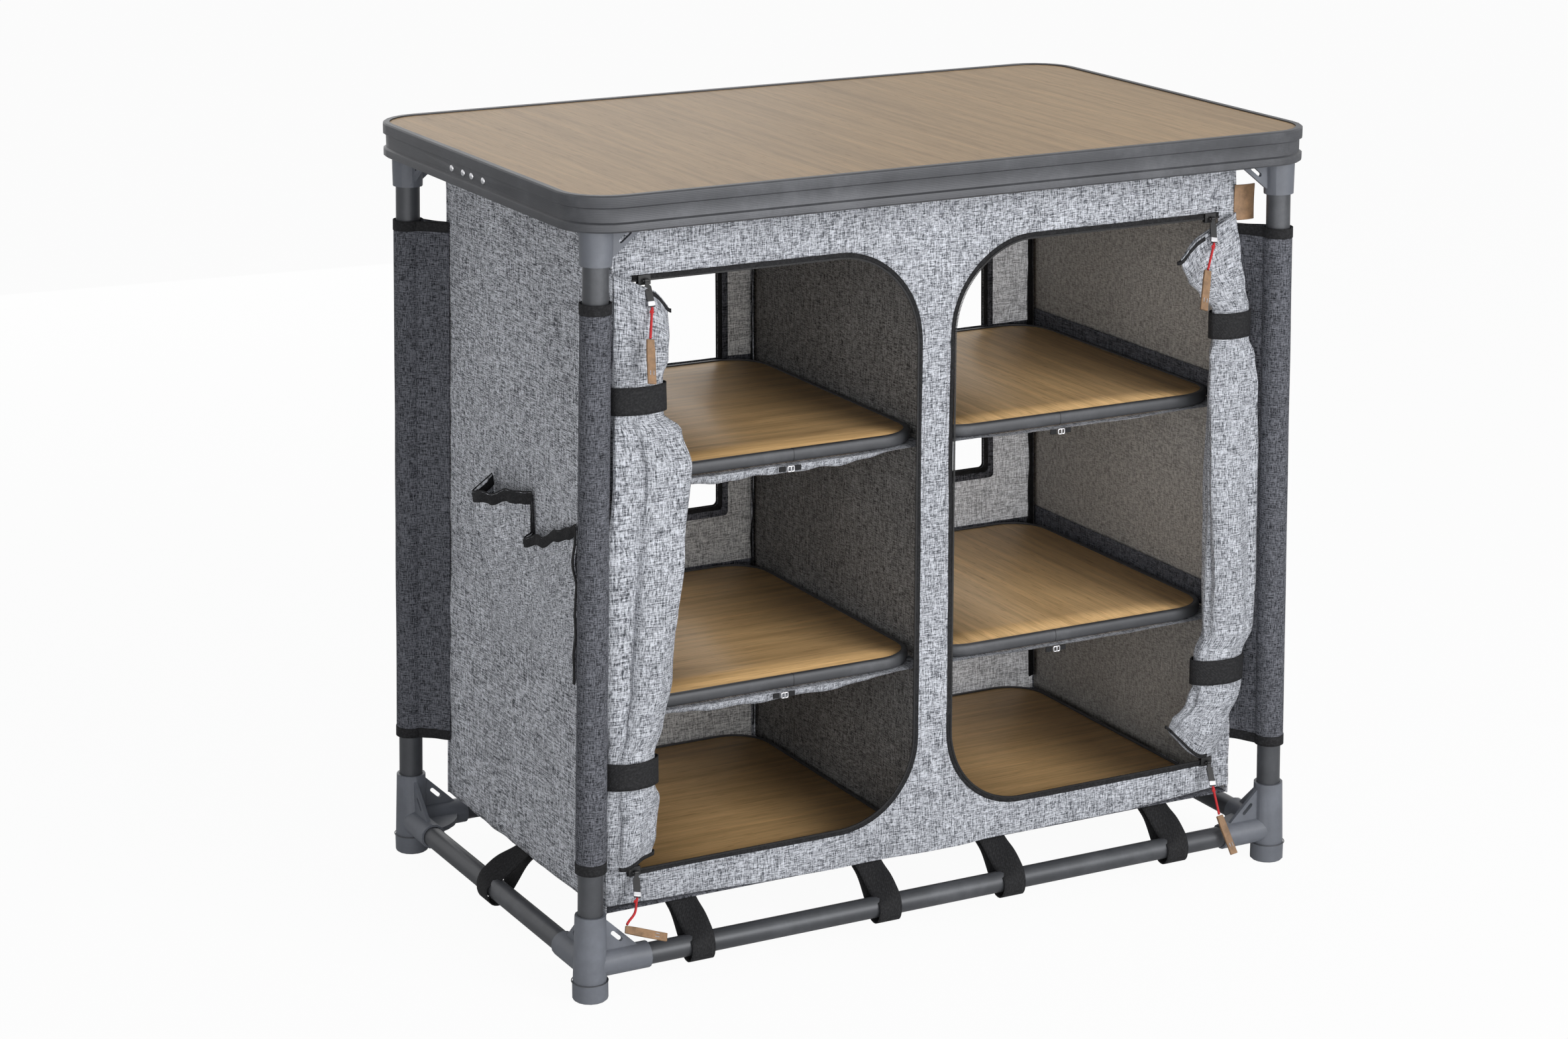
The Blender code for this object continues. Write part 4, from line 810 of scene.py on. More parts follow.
def side_walls():
    """The two side walls, each with its lining."""
    for name_x, sx in SIDES:
        def lay(y, z, off=0.0, sx=sx):
            reach = splayed_x(BODY_HALF_X, z) - 0.0010 + max(-0.0006, side_depth(y, z, sx)) + off
            return Vector((sx * reach, y, z))
        wall = rectangle(-INNER_HALF_Y - 0.0015, BODY_HEM_Z, INNER_HALF_Y + 0.0015, WALL_HEAD_Z)
        cloth = creased_sheet([wall], lay)
        sheet = on_cupboard(f"side_cloth_{name_x}", cloth, SIDE_HEATHER_PAINTED_LIT,
                            (f"side_panel_{name_x}",), wall=CLOTH)
        inner = rectangle(-INNER_HALF_Y + 0.003, LINING_FOOT_Z, INNER_HALF_Y - 0.003, LINING_HEAD_Z)
        lining = creased_sheet([inner], lambda y, z, lay=lay: lay(y, z, SIDE_LINING_OFF))
        sheet = on_cupboard(f"side_lining_{name_x}", lining, LINING, wall=LINING_WALL)


WINDOW_HALF_X = 0.1295
WINDOW_CENTRE_X = 0.1745
WINDOW_HALF_Z = 0.1595
WINDOW_CENTRE_Z = 0.5085
WINDOW_R = 0.005
WINDOW_BORDER = 0.0115
WINDOW_EDGE = 0.004
BORDER_OFF = -0.0033
WINDOW_BINDINGS = {"inner": -0.0040, "outer": 0.0012}


def lay_back(x, z, off=0.0):
    wave = waver(x * 8, z * 6, 8.8) * 0.0018
    return Vector((splayed_x(x, z), BODY_HALF_Y - 0.0010 + wave + off, z))


def window_loop(side, grow):
    return rounded_box(WINDOW_HALF_X + grow, WINDOW_HALF_Z + grow, WINDOW_R,
                       (side * WINDOW_CENTRE_X, WINDOW_CENTRE_Z), 6)


def back_wall():
    """The back wall, its linings, and the border and bindings of its two windows."""
    outline = rectangle(-BODY_HALF_X, BODY_HEM_Z, BODY_HALF_X, WALL_HEAD_Z)
    cloth = creased_sheet([outline, window_loop(-1, 0), window_loop(1, 0)], lay_back)
    sheet = on_cupboard("back_cloth", cloth, LIGHT_HEATHER, ("back_panel",), wall=CLOTH)
    for name_x, sx in SIDES:
        low = 0.004 if sx > 0 else -BODY_HALF_X + 0.004
        lining_box = rectangle(low, LINING_FOOT_Z, low + BODY_HALF_X - 0.008, LINING_HEAD_Z)
        hole = window_loop(sx, WINDOW_BORDER * 0.8)
        lining = creased_sheet([lining_box, hole], lambda x, z: lay_back(x, z, BACK_LINING_OFF))
        sheet = on_cupboard(f"back_lining_{name_x}", lining, BACK_LINING[sx], wall=LINING_WALL)
        cut = outline_area(lining_box) - outline_area(hole)
        border = creased_sheet([window_loop(sx, WINDOW_BORDER), window_loop(sx, 0.001)],
                               lambda x, z: lay_back(x, z, BORDER_OFF), 0.02)
        on_cupboard(f"window_border_{name_x}", border, DARK_HEATHER, wall=0.0006)
        for face, off in WINDOW_BINDINGS.items():
            edge = creased_sheet([window_loop(sx, WINDOW_EDGE), window_loop(sx, -0.0012)],
                                 lambda x, z, off=off: lay_back(x, z, off), 0.03)
            on_cupboard(f"window_binding_{face}_{name_x}", edge, BINDING, wall=0.0008)


SEAM_FOOT_Z = 0.09
SEAM_HEAD_Z = 0.745
# where each inner seam starts, the way it runs from there and its width
INNER_SEAMS = {"corner": (BODY_HALF_X - 0.0045, 1, 0.0085), "divider": (0.0035, -1, 0.0030)}


def inner_seams():
    """Black bound seams down the inner back corners and beside the divider, a little wavy."""
    for name_x, sx in SIDES:
        for name, (near_x, turn, width) in INNER_SEAMS.items():
            def place(u, v, sx=sx, near_x=near_x, turn=turn, width=width):
                z = SEAM_FOOT_Z + (SEAM_HEAD_Z - SEAM_FOOT_Z) * v
                sway = waver(z * 34, near_x * 50, sx) * 0.0028
                x = splayed_x(near_x, z) - turn * (-0.0008 + width * u) + sway * ease(u * 2)
                return (sx * x, 0.1935 - 0.004 * u + sway * 0.4, z)
            bm = bent_grid(4, 90, place, (width, SEAM_HEAD_Z - SEAM_FOOT_Z))
            on_cupboard(f"{name}_binding_{name_x}", bm, BINDING, wall=0.0009)


SIDE_BAND_HEIGHT = 0.027
BACK_BAND_HEIGHT = 0.0125
BAND_DROP = 0.012
BAND_START_Y = -0.186
BAND_LENGTH = 0.374


def wall_bands():
    """Charcoal margins of the slings, sewn to the side and back walls above each shelf."""
    for name_x, sx in SIDES:
        for level in HUNG_SHELVES:
            foot_z = SHELF_TOP_Z[level] - BAND_DROP

            def side_place(u, v, sx=sx, foot_z=foot_z):
                z = foot_z + SIDE_BAND_HEIGHT * v
                y = BAND_START_Y + BAND_LENGTH * u
                pucker = waver(y * 60, z * 30, sx * 4) * 0.0011
                return (sx * (splayed_x(BODY_HALF_X, z) - 0.0052 + pucker), y, z)
            bm = bent_grid(60, 5, side_place, (BAND_LENGTH, SIDE_BAND_HEIGHT))
            on_cupboard(f"wall_band_{level}_{name_x}", bm, DARK_HEATHER, wall=0.0007)

            def back_place(u, v, sx=sx, foot_z=foot_z):
                z = foot_z + BACK_BAND_HEIGHT * v
                x = 0.002 + (splayed_x(BODY_HALF_X, z) - 0.010) * u
                pucker = waver(x * 60, z * 30, sx * 7) * 0.0011
                return (sx * x, 0.1932 + pucker, z)
            bm = bent_grid(60, 5, back_place, (0.35, BACK_BAND_HEIGHT))
            on_cupboard(f"back_band_{level}_{name_x}", bm, DARK_HEATHER, wall=0.0007)


# how far the front lip of a sling shows under its shelf, left and right column
LIP_DROP = {-1: 0.0075, 1: 0.0016}
LIP_LENGTH = 0.012
SLING_LENGTH = 0.400
SLING_FRONT_Y = -0.1915
DIVIDER_FOOT_Z = 0.0750


def divider_and_slings():
    """The upright wall between the columns and the slings that carry the hung shelves."""
    def lay(y, z):
        wave = waver(y * 7, z * 5, 1.9) * 0.0028
        wave += waver(y * 25, z * 14, 6.9) * 0.0010
        return Vector((wave, y, z))
    low = DIVIDER_FOOT_Z
    high = BODY_TOP_Z - 0.004
    wall = creased_sheet([rectangle(-INNER_HALF_Y + 0.0015, low, INNER_HALF_Y - 0.002, high)], lay)
    sheet = on_cupboard("divider_cloth", wall, DIVIDER_CLOTH_PAINTED_SHADE,
                        ("divider_with_slings",), wall=CLOTH)
    for name_x, sx in SIDES:
        for level in HUNG_SHELVES:
            under = SHELF_TOP_Z[level] - SHELF_THICKNESS - 0.0012
            reach = splayed_x(BODY_HALF_X, under) - 0.006

            def place(u, v, sx=sx, under=under, reach=reach):
                x = 0.003 + (reach - 0.003) * u
                run = v * SLING_LENGTH
                sag = 0.0012 * math.sin(math.pi * u) + waver(x * 22, v * 9, under) * 0.0008
                if run >= LIP_LENGTH:
                    return (sx * x, SLING_FRONT_Y + (run - LIP_LENGTH), under - sag)
                part = 1 - run / LIP_LENGTH
                scallop = 0.6 + 0.5 * math.sin(math.pi * clamp(u * 1.04))
                scallop += waver(x * 45, 0.3, under * 9) * 0.35
                fall = LIP_DROP[sx] * scallop * ease(u * 3.2) * part
                return (sx * x, SLING_FRONT_Y + 0.002 * (1 + part), under - fall - sag)
            bm = bent_grid(60, 66, place, (reach, SLING_LENGTH))
            sheet = on_cupboard(f"sling_cloth_{level}_{name_x}", bm, LIGHT_HEATHER_UV,
                                ("divider_with_slings",), wall=0.0011)


CLIP_PLACES_X = {("left", "upper"): -0.163, ("left", "middle"): -0.170,
                 ("right", "upper"): 0.150, ("right", "middle"): 0.150}
CLIP_TAB = (0.0075, 0.0016, 0.0052)


def sling_clips():
    """A small steel clip on two webbing tabs under the front edge of each hung shelf."""
    for (name_x, level), x in CLIP_PLACES_X.items():
        z = SHELF_TOP_Z[level] - SHELF_THICKNESS - 0.0050
        for index, offset in enumerate((-0.0085, 0.0085)):
            tab = bmesh.new()
            add_block(tab, CLIP_TAB, (x + offset, -0.1945, z))
            on_cupboard(f"clip_tab_{level}_{name_x}_{index + 1}", tab, WEBBING, bevel=0.0006)
        ring = [(u, -0.1962, v) for u, v in rounded_box(0.0036, 0.0026, 0.0010, (x, z), 4)]
        wire(f"clip_{level}_{name_x}", ring, 0.0008, STEEL, "cupboard", closed=True)
        bridge = [(x, -0.1964, z + 0.0027), (x, -0.1968, z), (x, -0.1964, z - 0.0027)]
        wire(f"clip_bridge_{level}_{name_x}", bridge, 0.0009, STEEL, "cupboard")


FLOOR_Z = 0.0712


def floor_and_cover():
    """The cloth floor and the dust cover under the worktop."""
    def lay_floor(x, y):
        return Vector((x, y, FLOOR_Z + waver(x * 9, y * 9, 2.0) * 0.0006))
    half_x = BODY_HALF_X - 0.0035
    half_y = INNER_HALF_Y - 0.001
    bm = creased_sheet([rectangle(-half_x, -half_y, half_x, half_y)], lay_floor, 0.02)
    sheet = on_cupboard("floor_cloth", bm, DARK_HEATHER_UV, ("floor_panel",), wall=0.0014)

    def lay_cover(x, y):
        return Vector((x, y, BODY_TOP_Z - 0.0016 + waver(x * 9, y * 9, 5.0) * 0.0006))
    half_x = splayed_x(BODY_HALF_X, BODY_TOP_Z) - 0.002
    bm = creased_sheet([rectangle(-half_x, -half_y, half_x, half_y)], lay_cover, 0.02)
    sheet = on_cupboard("cover_cloth", bm, DARK_HEATHER_UV, ("top_cover",), wall=0.0012)


# leg sleeves

SLEEVE_FOOT_Z = 0.133
SLEEVE_HEAD_Z = 0.695
SLEEVE_R = 0.0146
SLEEVE_TAPE = 0.0105
SLEEVE_GIRTH = 0.16
SLEEVE_SEAM_Y = 0.1907
SLEEVE_SAG = 0.0016
# the share of the way round that each side of the fin between seam and leg takes
SLEEVE_FIN = 0.22


def sleeve_outline(sx, sy, share, grow):
    """A point of the keyhole round a leg: from the seam, round the tube and back to the seam."""
    leg = Vector((sx * LEG_X, sy * LEG_Y))
    seam = Vector((sx * (BODY_HALF_X - 0.0005), sy * SLEEVE_SEAM_Y))
    run = seam - leg
    heading = math.atan2(run.y, run.x)
    across = Vector((-run.y, run.x)).normalized()
    radius = SLEEVE_R + grow
    neck = 0.0022 + grow
    opening = math.asin(neck / radius) + 0.28
    part = (share - SLEEVE_FIN) / (1 - 2 * SLEEVE_FIN)
    angle = heading + opening + (math.tau - 2 * opening) * clamp(part)
    on_tube = leg + radius * Vector((math.cos(angle), math.sin(angle)))
    if 0 <= part <= 1:
        return on_tube
    half = 1 if part < 0 else -1
    from_seam = (share if part < 0 else 1 - share) / SLEEVE_FIN
    start = seam + half * across * neck * 0.8
    return start.lerp(on_tube, from_seam) - half * across * SLEEVE_SAG * math.sin(math.pi * ease(from_seam))


def leg_sleeves():
    """A charcoal sleeve round each leg, taped at both ends."""
    for name_y, sy in ROWS:
        for name_x, sx in SIDES:
            def place(u, v, low=SLEEVE_FOOT_Z, high=SLEEVE_HEAD_Z, grow=0.0, sx=sx, sy=sy):
                z = low + (high - low) * v
                x, y = sleeve_outline(sx, sy, u, grow)
                rough = waver(x * 60, y * 60, z * 11) * 0.0007
                rough *= 1 - bump(u, 0.0, 0.1) - bump(u, 1.0, 0.1)
                lean = LEG_SPLAY * (BASE_RAIL_Z - z) * sx
                return (x + lean + rough, y + rough * 0.6, z)
            bm = bent_grid(54, 60, place, (SLEEVE_GIRTH, SLEEVE_HEAD_Z - SLEEVE_FOOT_Z))
            sheet = on_cupboard(f"leg_sleeve_{name_y}_{name_x}", bm, DARK_HEATHER_UV,
                                (f"side_panel_{name_x}",), wall=0.0009)
            sheet_width(place, 54)
            lows = {"foot": SLEEVE_FOOT_Z - 0.0006, "head": SLEEVE_HEAD_Z - SLEEVE_TAPE + 0.0006}
            for end, low in lows.items():
                bm = bent_grid(54, 4, lambda u, v, low=low: place(u, v, low, low + SLEEVE_TAPE, 0.0007),
                               (SLEEVE_GIRTH, SLEEVE_TAPE))
                on_cupboard(f"sleeve_tape_{end}_{name_y}_{name_x}", bm, BINDING, wall=0.0008)


# zips

TOOTH_PITCH = 0.0014
TOOTH_SIZE = (0.0009, 0.0019, 0.0016)
ZIP_STITCH = (0.0024, 0.0005, 0.0005)
ZIP_STITCH_PITCH = 0.0036


def door_run(side, grow):
    """The open path of the door's edge, from the hinge side at the sill to that at the head."""
    return [lay_front(x, z) for x, z in door_outline(side, grow)]


def zips():
    """Each door's zip round its opening: tape, teeth and the row of stitches beside them."""
    out = Vector((0, -1, 0))
    for name_x, sx in SIDES:
        band = door_outline(sx, 0.0012) + door_outline(sx, -0.0034)[::-1]
        tape = creased_sheet([band], lambda x, z: lay_front(x, z, 0.0008), 0.02)
        on_cupboard(f"zip_tape_{name_x}", tape, BINDING, (f"door_zip_{name_x}",), wall=0.0009)
        teeth = row_of_blocks(door_run(sx, -0.0042), TOOTH_PITCH, TOOTH_SIZE, out, 0.0010)
        on_cupboard(f"zip_teeth_{name_x}", teeth, ZIP_BLACK, (f"door_zip_{name_x}",))
        stitches = row_of_blocks(door_run(sx, 0.0048), ZIP_STITCH_PITCH, ZIP_STITCH, out, 0.0008)
        on_cupboard(f"zip_stitches_{name_x}", stitches, THREAD)


# sliders and pulls

SLIDER_TOP_X = 0.3225
SLIDER_BASE_X = 0.3405
BRIDGE_Y = -0.2044
HEAD_ZIP_Z = 0.70545
SILL_ZIP_Z = 0.11155
TAB_LENGTH = 0.0260
CRIMP_SIZE = (0.0078, 0.0026, 0.0050)
PULL_CORD_R = 0.0010
STRAND_R = 0.0013
PULL_CORD_LENGTH = 0.031
PULL_CORD_BOW = 0.003
TOGGLE_LENGTH = 0.0435
TOGGLE_WIDTH = 0.0085
TOGGLE_THICKNESS = 0.0030
TOGGLE_STITCH = (0.0007, 0.0007, 0.0042)
# the clearance between a tab, its cord and its toggle in the CAD
GAP = 0.0003
CORD_STEPS = 16
KNOT_STEPS = 48
KNOT_SIZE = (0.00062, 0.00075, 0.0008)
KNOT_SHARE = 0.12
# where each pull hangs, its lean off the door, and the sideways swing of tab, cord and toggle
PULLS = {
    "top_left": (-SLIDER_TOP_X, HEAD_ZIP_Z, 28, (0, -17, -11), 0),
    "top_right": (SLIDER_TOP_X, HEAD_ZIP_Z, 28, (-12, -30, -22), 0),
    "base_left": (-SLIDER_BASE_X, SILL_ZIP_Z, 40, (-15, -38, 68), PULL_CORD_BOW),
    "base_right": (SLIDER_BASE_X, SILL_ZIP_Z, 32, (-6, -4, 6), 0),
}


def hanging(angle):
    """The way down, swung sideways by an angle."""
    return Vector((math.sin(angle), 0, -math.cos(angle)))


def knot_points(centre, across, along):
    """A small overhand knot: a trefoil squeezed along the cord."""
    third = along.cross(across).normalized()
    wide, high, deep = KNOT_SIZE
    points = []
    for k in range(KNOT_STEPS):
        t = math.tau * k / KNOT_STEPS
        u = math.sin(t) + 2 * math.sin(2 * t)
        v = math.cos(t) - 2 * math.cos(2 * t)
        w = -math.sin(3 * t)
        points.append(centre + across * u * wide + along * v * high + third * w * deep)
    return points


def pulls():
    """The four sliders, each with its tab, crimp, red cord, knot and leather toggle."""
    for name, (x, z, lean, swings, bow) in PULLS.items():
        body = f"pull_{name}"
        origin = Vector((x, BRIDGE_Y, z))
        tilt = Matrix.Translation(origin) @ Matrix.Rotation(-math.radians(lean), 4, "X")
        tab_swing, cord_swing, toggle_swing = [math.radians(swing) for swing in swings]
        dressed_node(f"slider_{name}", ZIP_BLACK, f"slider_{name}", 0.0003)
        dressed_node(f"pull_tab_{name}", ZIP_BLACK, body, 0.0003)
        tab_end = Matrix.Translation((0, 0, -TAB_LENGTH + 0.0032))
        bm = bmesh.new()
        add_block(bm, CRIMP_SIZE, tilt @ Matrix.Rotation(-tab_swing, 4, "Y") @ tab_end)
        crimp = finished(f"pull_crimp_{name}", bm, STEEL, body, bevel=0.0005)
        drop = TAB_LENGTH + GAP + PULL_CORD_R * abs(math.sin(cord_swing - tab_swing))
        start = hanging(tab_swing) * drop
        along = hanging(cord_swing)
        across = along.cross(Vector((0, 1, 0)))
        points = []
        for k in range(CORD_STEPS + 1):
            share = k / CORD_STEPS
            points.append(tilt @ (start + along * PULL_CORD_LENGTH * share
                                  + across * bow * math.sin(math.pi * share) ** 2))
        cord = wire(f"pull_cord_{name}_strand", points, STRAND_R, RED_CORD, body,
                    (f"pull_cord_{name}",))
        turn_only = tilt.to_3x3()
        centre = points[0].lerp(points[-1], KNOT_SHARE)
        knot = wire(f"pull_knot_{name}", knot_points(centre, turn_only @ across, turn_only @ along),
                    0.0007, RED_CORD, body, closed=True)
        turned = abs(math.sin(toggle_swing - cord_swing))
        head = start + along * PULL_CORD_LENGTH + along * (GAP + (PULL_CORD_R + TOGGLE_WIDTH / 2) * turned)
        seat = tilt @ Matrix.Translation(head) @ Matrix.Rotation(-toggle_swing, 4, "Y")
        bar = bmesh.new()
        add_block(bar, (TOGGLE_WIDTH, TOGGLE_THICKNESS, TOGGLE_LENGTH), (0, 0, -TOGGLE_LENGTH / 2))
        bmesh.ops.subdivide_edges(bar, edges=bar.edges[:], cuts=3, use_grid_fill=True)
        for vert in bar.verts:
            share = -vert.co.z / TOGGLE_LENGTH
            vert.co.x *= 1 - 0.10 * bump(share, 0.0, 0.25)
            vert.co.y *= 1 - 0.18 * bump(share, 0.75, 0.12)
        bmesh.ops.transform(bar, matrix=seat, verts=bar.verts)
        toggle = finished(f"toggle_{name}_leather", bar, LEATHER, body, (f"toggle_{name}",),
                          bevel=0.0007)
        thread = bmesh.new()
        for offset in (-0.0017, 0.0017):
            for face in (-1, 1):
                spot = (offset, face * TOGGLE_THICKNESS * 0.44, -TOGGLE_LENGTH * 0.76)
                add_block(thread, TOGGLE_STITCH, seat @ Matrix.Translation(spot))
        stitch = finished(f"toggle_stitch_{name}", thread, THREAD, body)


# rolled doors

ROLL_CENTRE_X = 0.3500
ROLL_HALF_WIDTH = 0.0465
ROLL_DEPTH = 0.0360
ROLL_FOOT_Z = 0.1230
ROLL_HEAD_Z = 0.6900
ROLL_BACK_Y = -0.2014
ROLL_STRAP_Z = (0.2220, 0.5960)
ROLL_STRAP_HEIGHT = 0.028
ROLL_TURNS = 2.5
# the share of a roll's half width that each turn inwards takes
TURN_SHARE = 0.155
# the soft mouth of the cloth above and below a strap: how far off and how far it puckers
PUCKER_OFF = 0.028
PUCKER_REACH = 0.026
PUCKER_DEPTH = 0.045
DOOR_WIDTH = 0.33
# rows of a roll: share of its height, centre, width, depth and how deep it folds
LEFT_ROLL_SHARES = (
    (0.000, 1.000, 0.58, 0.30, 0.05), (0.050, 1.004, 0.70, 0.66, 0.12), (0.120, 1.000, 0.72, 0.80, 0.10),
    (0.143, 1.000, 0.61, 0.78, 0.04), (0.206, 1.000, 0.61, 0.78, 0.04), (0.250, 0.986, 0.76, 0.90, 0.10),
    (0.340, 0.968, 0.88, 0.98, 0.13), (0.450, 0.957, 0.96, 1.00, 0.14), (0.560, 0.946, 1.00, 1.00, 0.14),
    (0.710, 0.930, 1.00, 0.98, 0.12), (0.775, 0.945, 0.84, 0.90, 0.08), (0.803, 0.967, 0.62, 0.76, 0.03),
    (0.866, 0.967, 0.62, 0.76, 0.03), (0.895, 0.955, 0.72, 0.62, 0.10), (0.940, 0.948, 0.74, 0.46, 0.12),
    (1.000, 0.945, 0.70, 0.22, 0.10),
)
RIGHT_ROLL_SHARES = (
    (0.000, 0.905, 0.70, 0.28, 0.04), (0.060, 0.925, 0.84, 0.62, 0.12), (0.125, 0.965, 0.76, 0.82, 0.12),
    (0.143, 0.970, 0.68, 0.80, 0.04), (0.206, 0.970, 0.68, 0.80, 0.04), (0.250, 1.000, 0.76, 0.92, 0.11),
    (0.340, 0.994, 0.78, 0.98, 0.13), (0.450, 0.985, 0.78, 1.00, 0.14), (0.560, 0.978, 0.78, 1.00, 0.14),
    (0.710, 0.973, 0.74, 0.96, 0.12), (0.775, 0.972, 0.62, 0.84, 0.08), (0.803, 0.972, 0.50, 0.74, 0.03),
    (0.866, 0.972, 0.50, 0.74, 0.03), (0.895, 0.950, 0.64, 0.60, 0.10), (0.940, 0.925, 0.74, 0.44, 0.12),
    (1.000, 0.912, 0.78, 0.20, 0.10),
)

# the long fold beside the leg: its depth on each roll, where it lies and how wide it is
ROLL_GROOVE = {-1: 0.34, 1: 0.12}
GROOVE_ANGLE = math.radians(-50)
GROOVE_REACH = math.radians(30)
# how much lower or higher the inner tip of a roll's head and foot is than the outer side
ROLL_SLANTS = {-1: (0.030, 0.006), 1: (0.036, 0.036)}
# how much higher the outer side of a head reaches than the rolled length, up to the zip
ROLL_HEAD_RISE = {-1: 0.0275, 1: 0.022}
ROLL_EDGE_ANGLE = math.radians(25)
# the zip's edge along a roll's head and foot: where it lies and how far round it is seen
ROLL_ZIP_START = math.radians(-205)
ROLL_ZIPS = {"head": (0.994, math.radians(100)), "foot": (0.004, math.radians(150))}


def roll_point(side, shares, share, angle, turns_in=0.0, grow=0.0):
    """A point of a rolled door: round the roll by the angle, and further in for the inner turns."""
    height, centre, width, depth, fold = eased_row(shares, share)
    z = ROLL_FOOT_Z + (ROLL_HEAD_Z - ROLL_FOOT_Z) * share
    half_x = ROLL_HALF_WIDTH * width
    half_y = ROLL_DEPTH * depth / 2
    ripple = 1 - 1.4 * fold * (1 + math.cos(3 * angle + math.tau * height)) / 2
    slack = 1 - 0.9 * max(bump(z, ROLL_STRAP_Z[0], 0.05), bump(z, ROLL_STRAP_Z[1], 0.05))
    lumps = ((0.05, 1.6, z * 13), (0.15, 2.4, z * 4.5 + side), (0.05, 5, z * 9 + side * 3))
    for height_share, round_way, up_way in lumps:
        around = (math.cos(angle) * round_way, math.sin(angle) * round_way)
        ripple += slack * height_share * waver(*around, up_way)
    near = max(bump(z, strap + edge * PUCKER_OFF, PUCKER_REACH) for strap in ROLL_STRAP_Z for edge in (-1, 1))
    turned = (angle + math.pi) % math.tau - math.pi
    ripple -= ROLL_GROOVE[side] * slack * bump(turned, GROOVE_ANGLE, GROOVE_REACH)
    ripple += near * PUCKER_DEPTH * math.cos(8 * angle + z * 40)
    shrink = 1 - TURN_SHARE * turns_in
    x = ROLL_CENTRE_X * centre + (half_x * ripple * shrink + grow) * math.cos(angle)
    y = ROLL_BACK_Y - half_y + (half_y * ripple * shrink + grow) * math.sin(angle)
    inward = clamp((ROLL_CENTRE_X * centre + half_x - x) / (2 * half_x))
    head_slant, foot_slant = ROLL_SLANTS[side]
    tip = 0.010 * ease((inward - 0.72) / 0.28)
    z += (ROLL_HEAD_RISE[side] - head_slant * inward - tip) * ease((share - 0.87) / 0.13)
    z += (foot_slant * inward ** 2.2 - 0.006 * bump(inward, 0.4, 0.4)) * ease((0.11 - share) / 0.11)
    return Vector((side * x, y, z))


def door_rolls():
    """The two doors rolled up beside their openings, with their zip edges and straps."""
    for (name_x, side), shares in zip(SIDES, (LEFT_ROLL_SHARES, RIGHT_ROLL_SHARES)):
        def place(u, v, side=side, shares=shares):
            turned = ROLL_TURNS * u
            return roll_point(side, shares, v, ROLL_EDGE_ANGLE - math.tau * turned, 0.12 + turned * 0.9)
        bm = bent_grid(110, 120, place, (DOOR_WIDTH, ROLL_HEAD_Z - ROLL_FOOT_Z))
        roll = on_cupboard(f"rolled_door_{name_x}", bm, LIGHT_HEATHER_UV,
                           (f"door_roll_{name_x}",), wall=0.0010)
        sheet_width(place, 110)
        for end, (share, sweep) in ROLL_ZIPS.items():
            def band(u, v, side=side, shares=shares, share=share, sweep=sweep):
                here = share + (v - 0.5) * 0.007
                return roll_point(side, shares, clamp(here), ROLL_ZIP_START + sweep * u, 0.0, 0.0007)
            bm = bent_grid(40, 3, band, (0.1, 0.004))
            on_cupboard(f"roll_zip_{end}_{name_x}", bm, BINDING, wall=0.0010)
        for level, strap_z in zip(("lower", "upper"), ROLL_STRAP_Z):
            def strap(u, v, side=side, shares=shares, strap_z=strap_z):
                z = strap_z + (v - 0.5) * (ROLL_STRAP_HEIGHT - 0.001)
                share = (strap_z - ROLL_FOOT_Z) / (ROLL_HEAD_Z - ROLL_FOOT_Z)
                angle = math.tau * u
                point = roll_point(side, shares, share, angle, 0.0, 0.0010)
                flare = 0.0009 * waver(math.cos(angle) * 2, math.sin(angle) * 2, z * 50)
                return (point.x + flare, point.y + flare, z)
            bm = bent_grid(56, 6, strap, (0.15, ROLL_STRAP_HEIGHT), closed=True)
            on_cupboard(f"roll_strap_{level}_{name_x}", bm, WEBBING,
                        (f"roll_straps_{name_x}",), wall=0.0013)


# straps round the base rails

BASE_STRAP_WIDTH = 0.031
BASE_STRAP_X = (-0.285, -0.072, 0.076, 0.279)
SIDE_STRAP_Y = 0.006
STRAP_ANCHOR_Z = 0.0697
STRAP_INSET = 0.009
STRAP_PITCH = 0.0032
STRAP_STAND = 0.0022
STRAP_SPREAD = 0.006
STRAP_STEPS = 24
# between rail and floor a strap twists, narrows and sags a little
STRAP_TWIST = 0.017
STRAP_NARROWS = 0.006
STRAP_SAG = 0.0035


def strap_run(rail_u, anchor_u):
    """Centre line of a strap round a rail, seen along the rail, with both ends at the cloth floor's edge."""
    sign = 1 if rail_u > anchor_u else -1
    radius = RAIL_R + STRAP_STAND
    ends = (anchor_u + sign * STRAP_SPREAD, anchor_u - sign * STRAP_SPREAD)
    angles = []
    for end, turn in zip(ends, (-sign, sign)):
        run = Vector((end - rail_u, STRAP_ANCHOR_Z - BASE_RAIL_Z))
        angles.append(math.atan2(run.y, run.x) + turn * math.acos(radius / run.length))
    sweep = -sign * ((sign * (angles[0] - angles[1])) % math.tau)
    points = [Vector((ends[0], STRAP_ANCHOR_Z))]
    for k in range(STRAP_STEPS + 1):
        angle = angles[0] + sweep * k / STRAP_STEPS
        points.append(Vector((rail_u + radius * math.cos(angle), BASE_RAIL_Z + radius * math.sin(angle))))
    points.append(Vector((ends[1], STRAP_ANCHOR_Z)))
    even = resampled([Vector((p.x, p.y, 0)) for p in points], STRAP_PITCH)
    return [points[0]] + [Vector((p.x, p.y)) for p, _ in even] + [points[-1]]


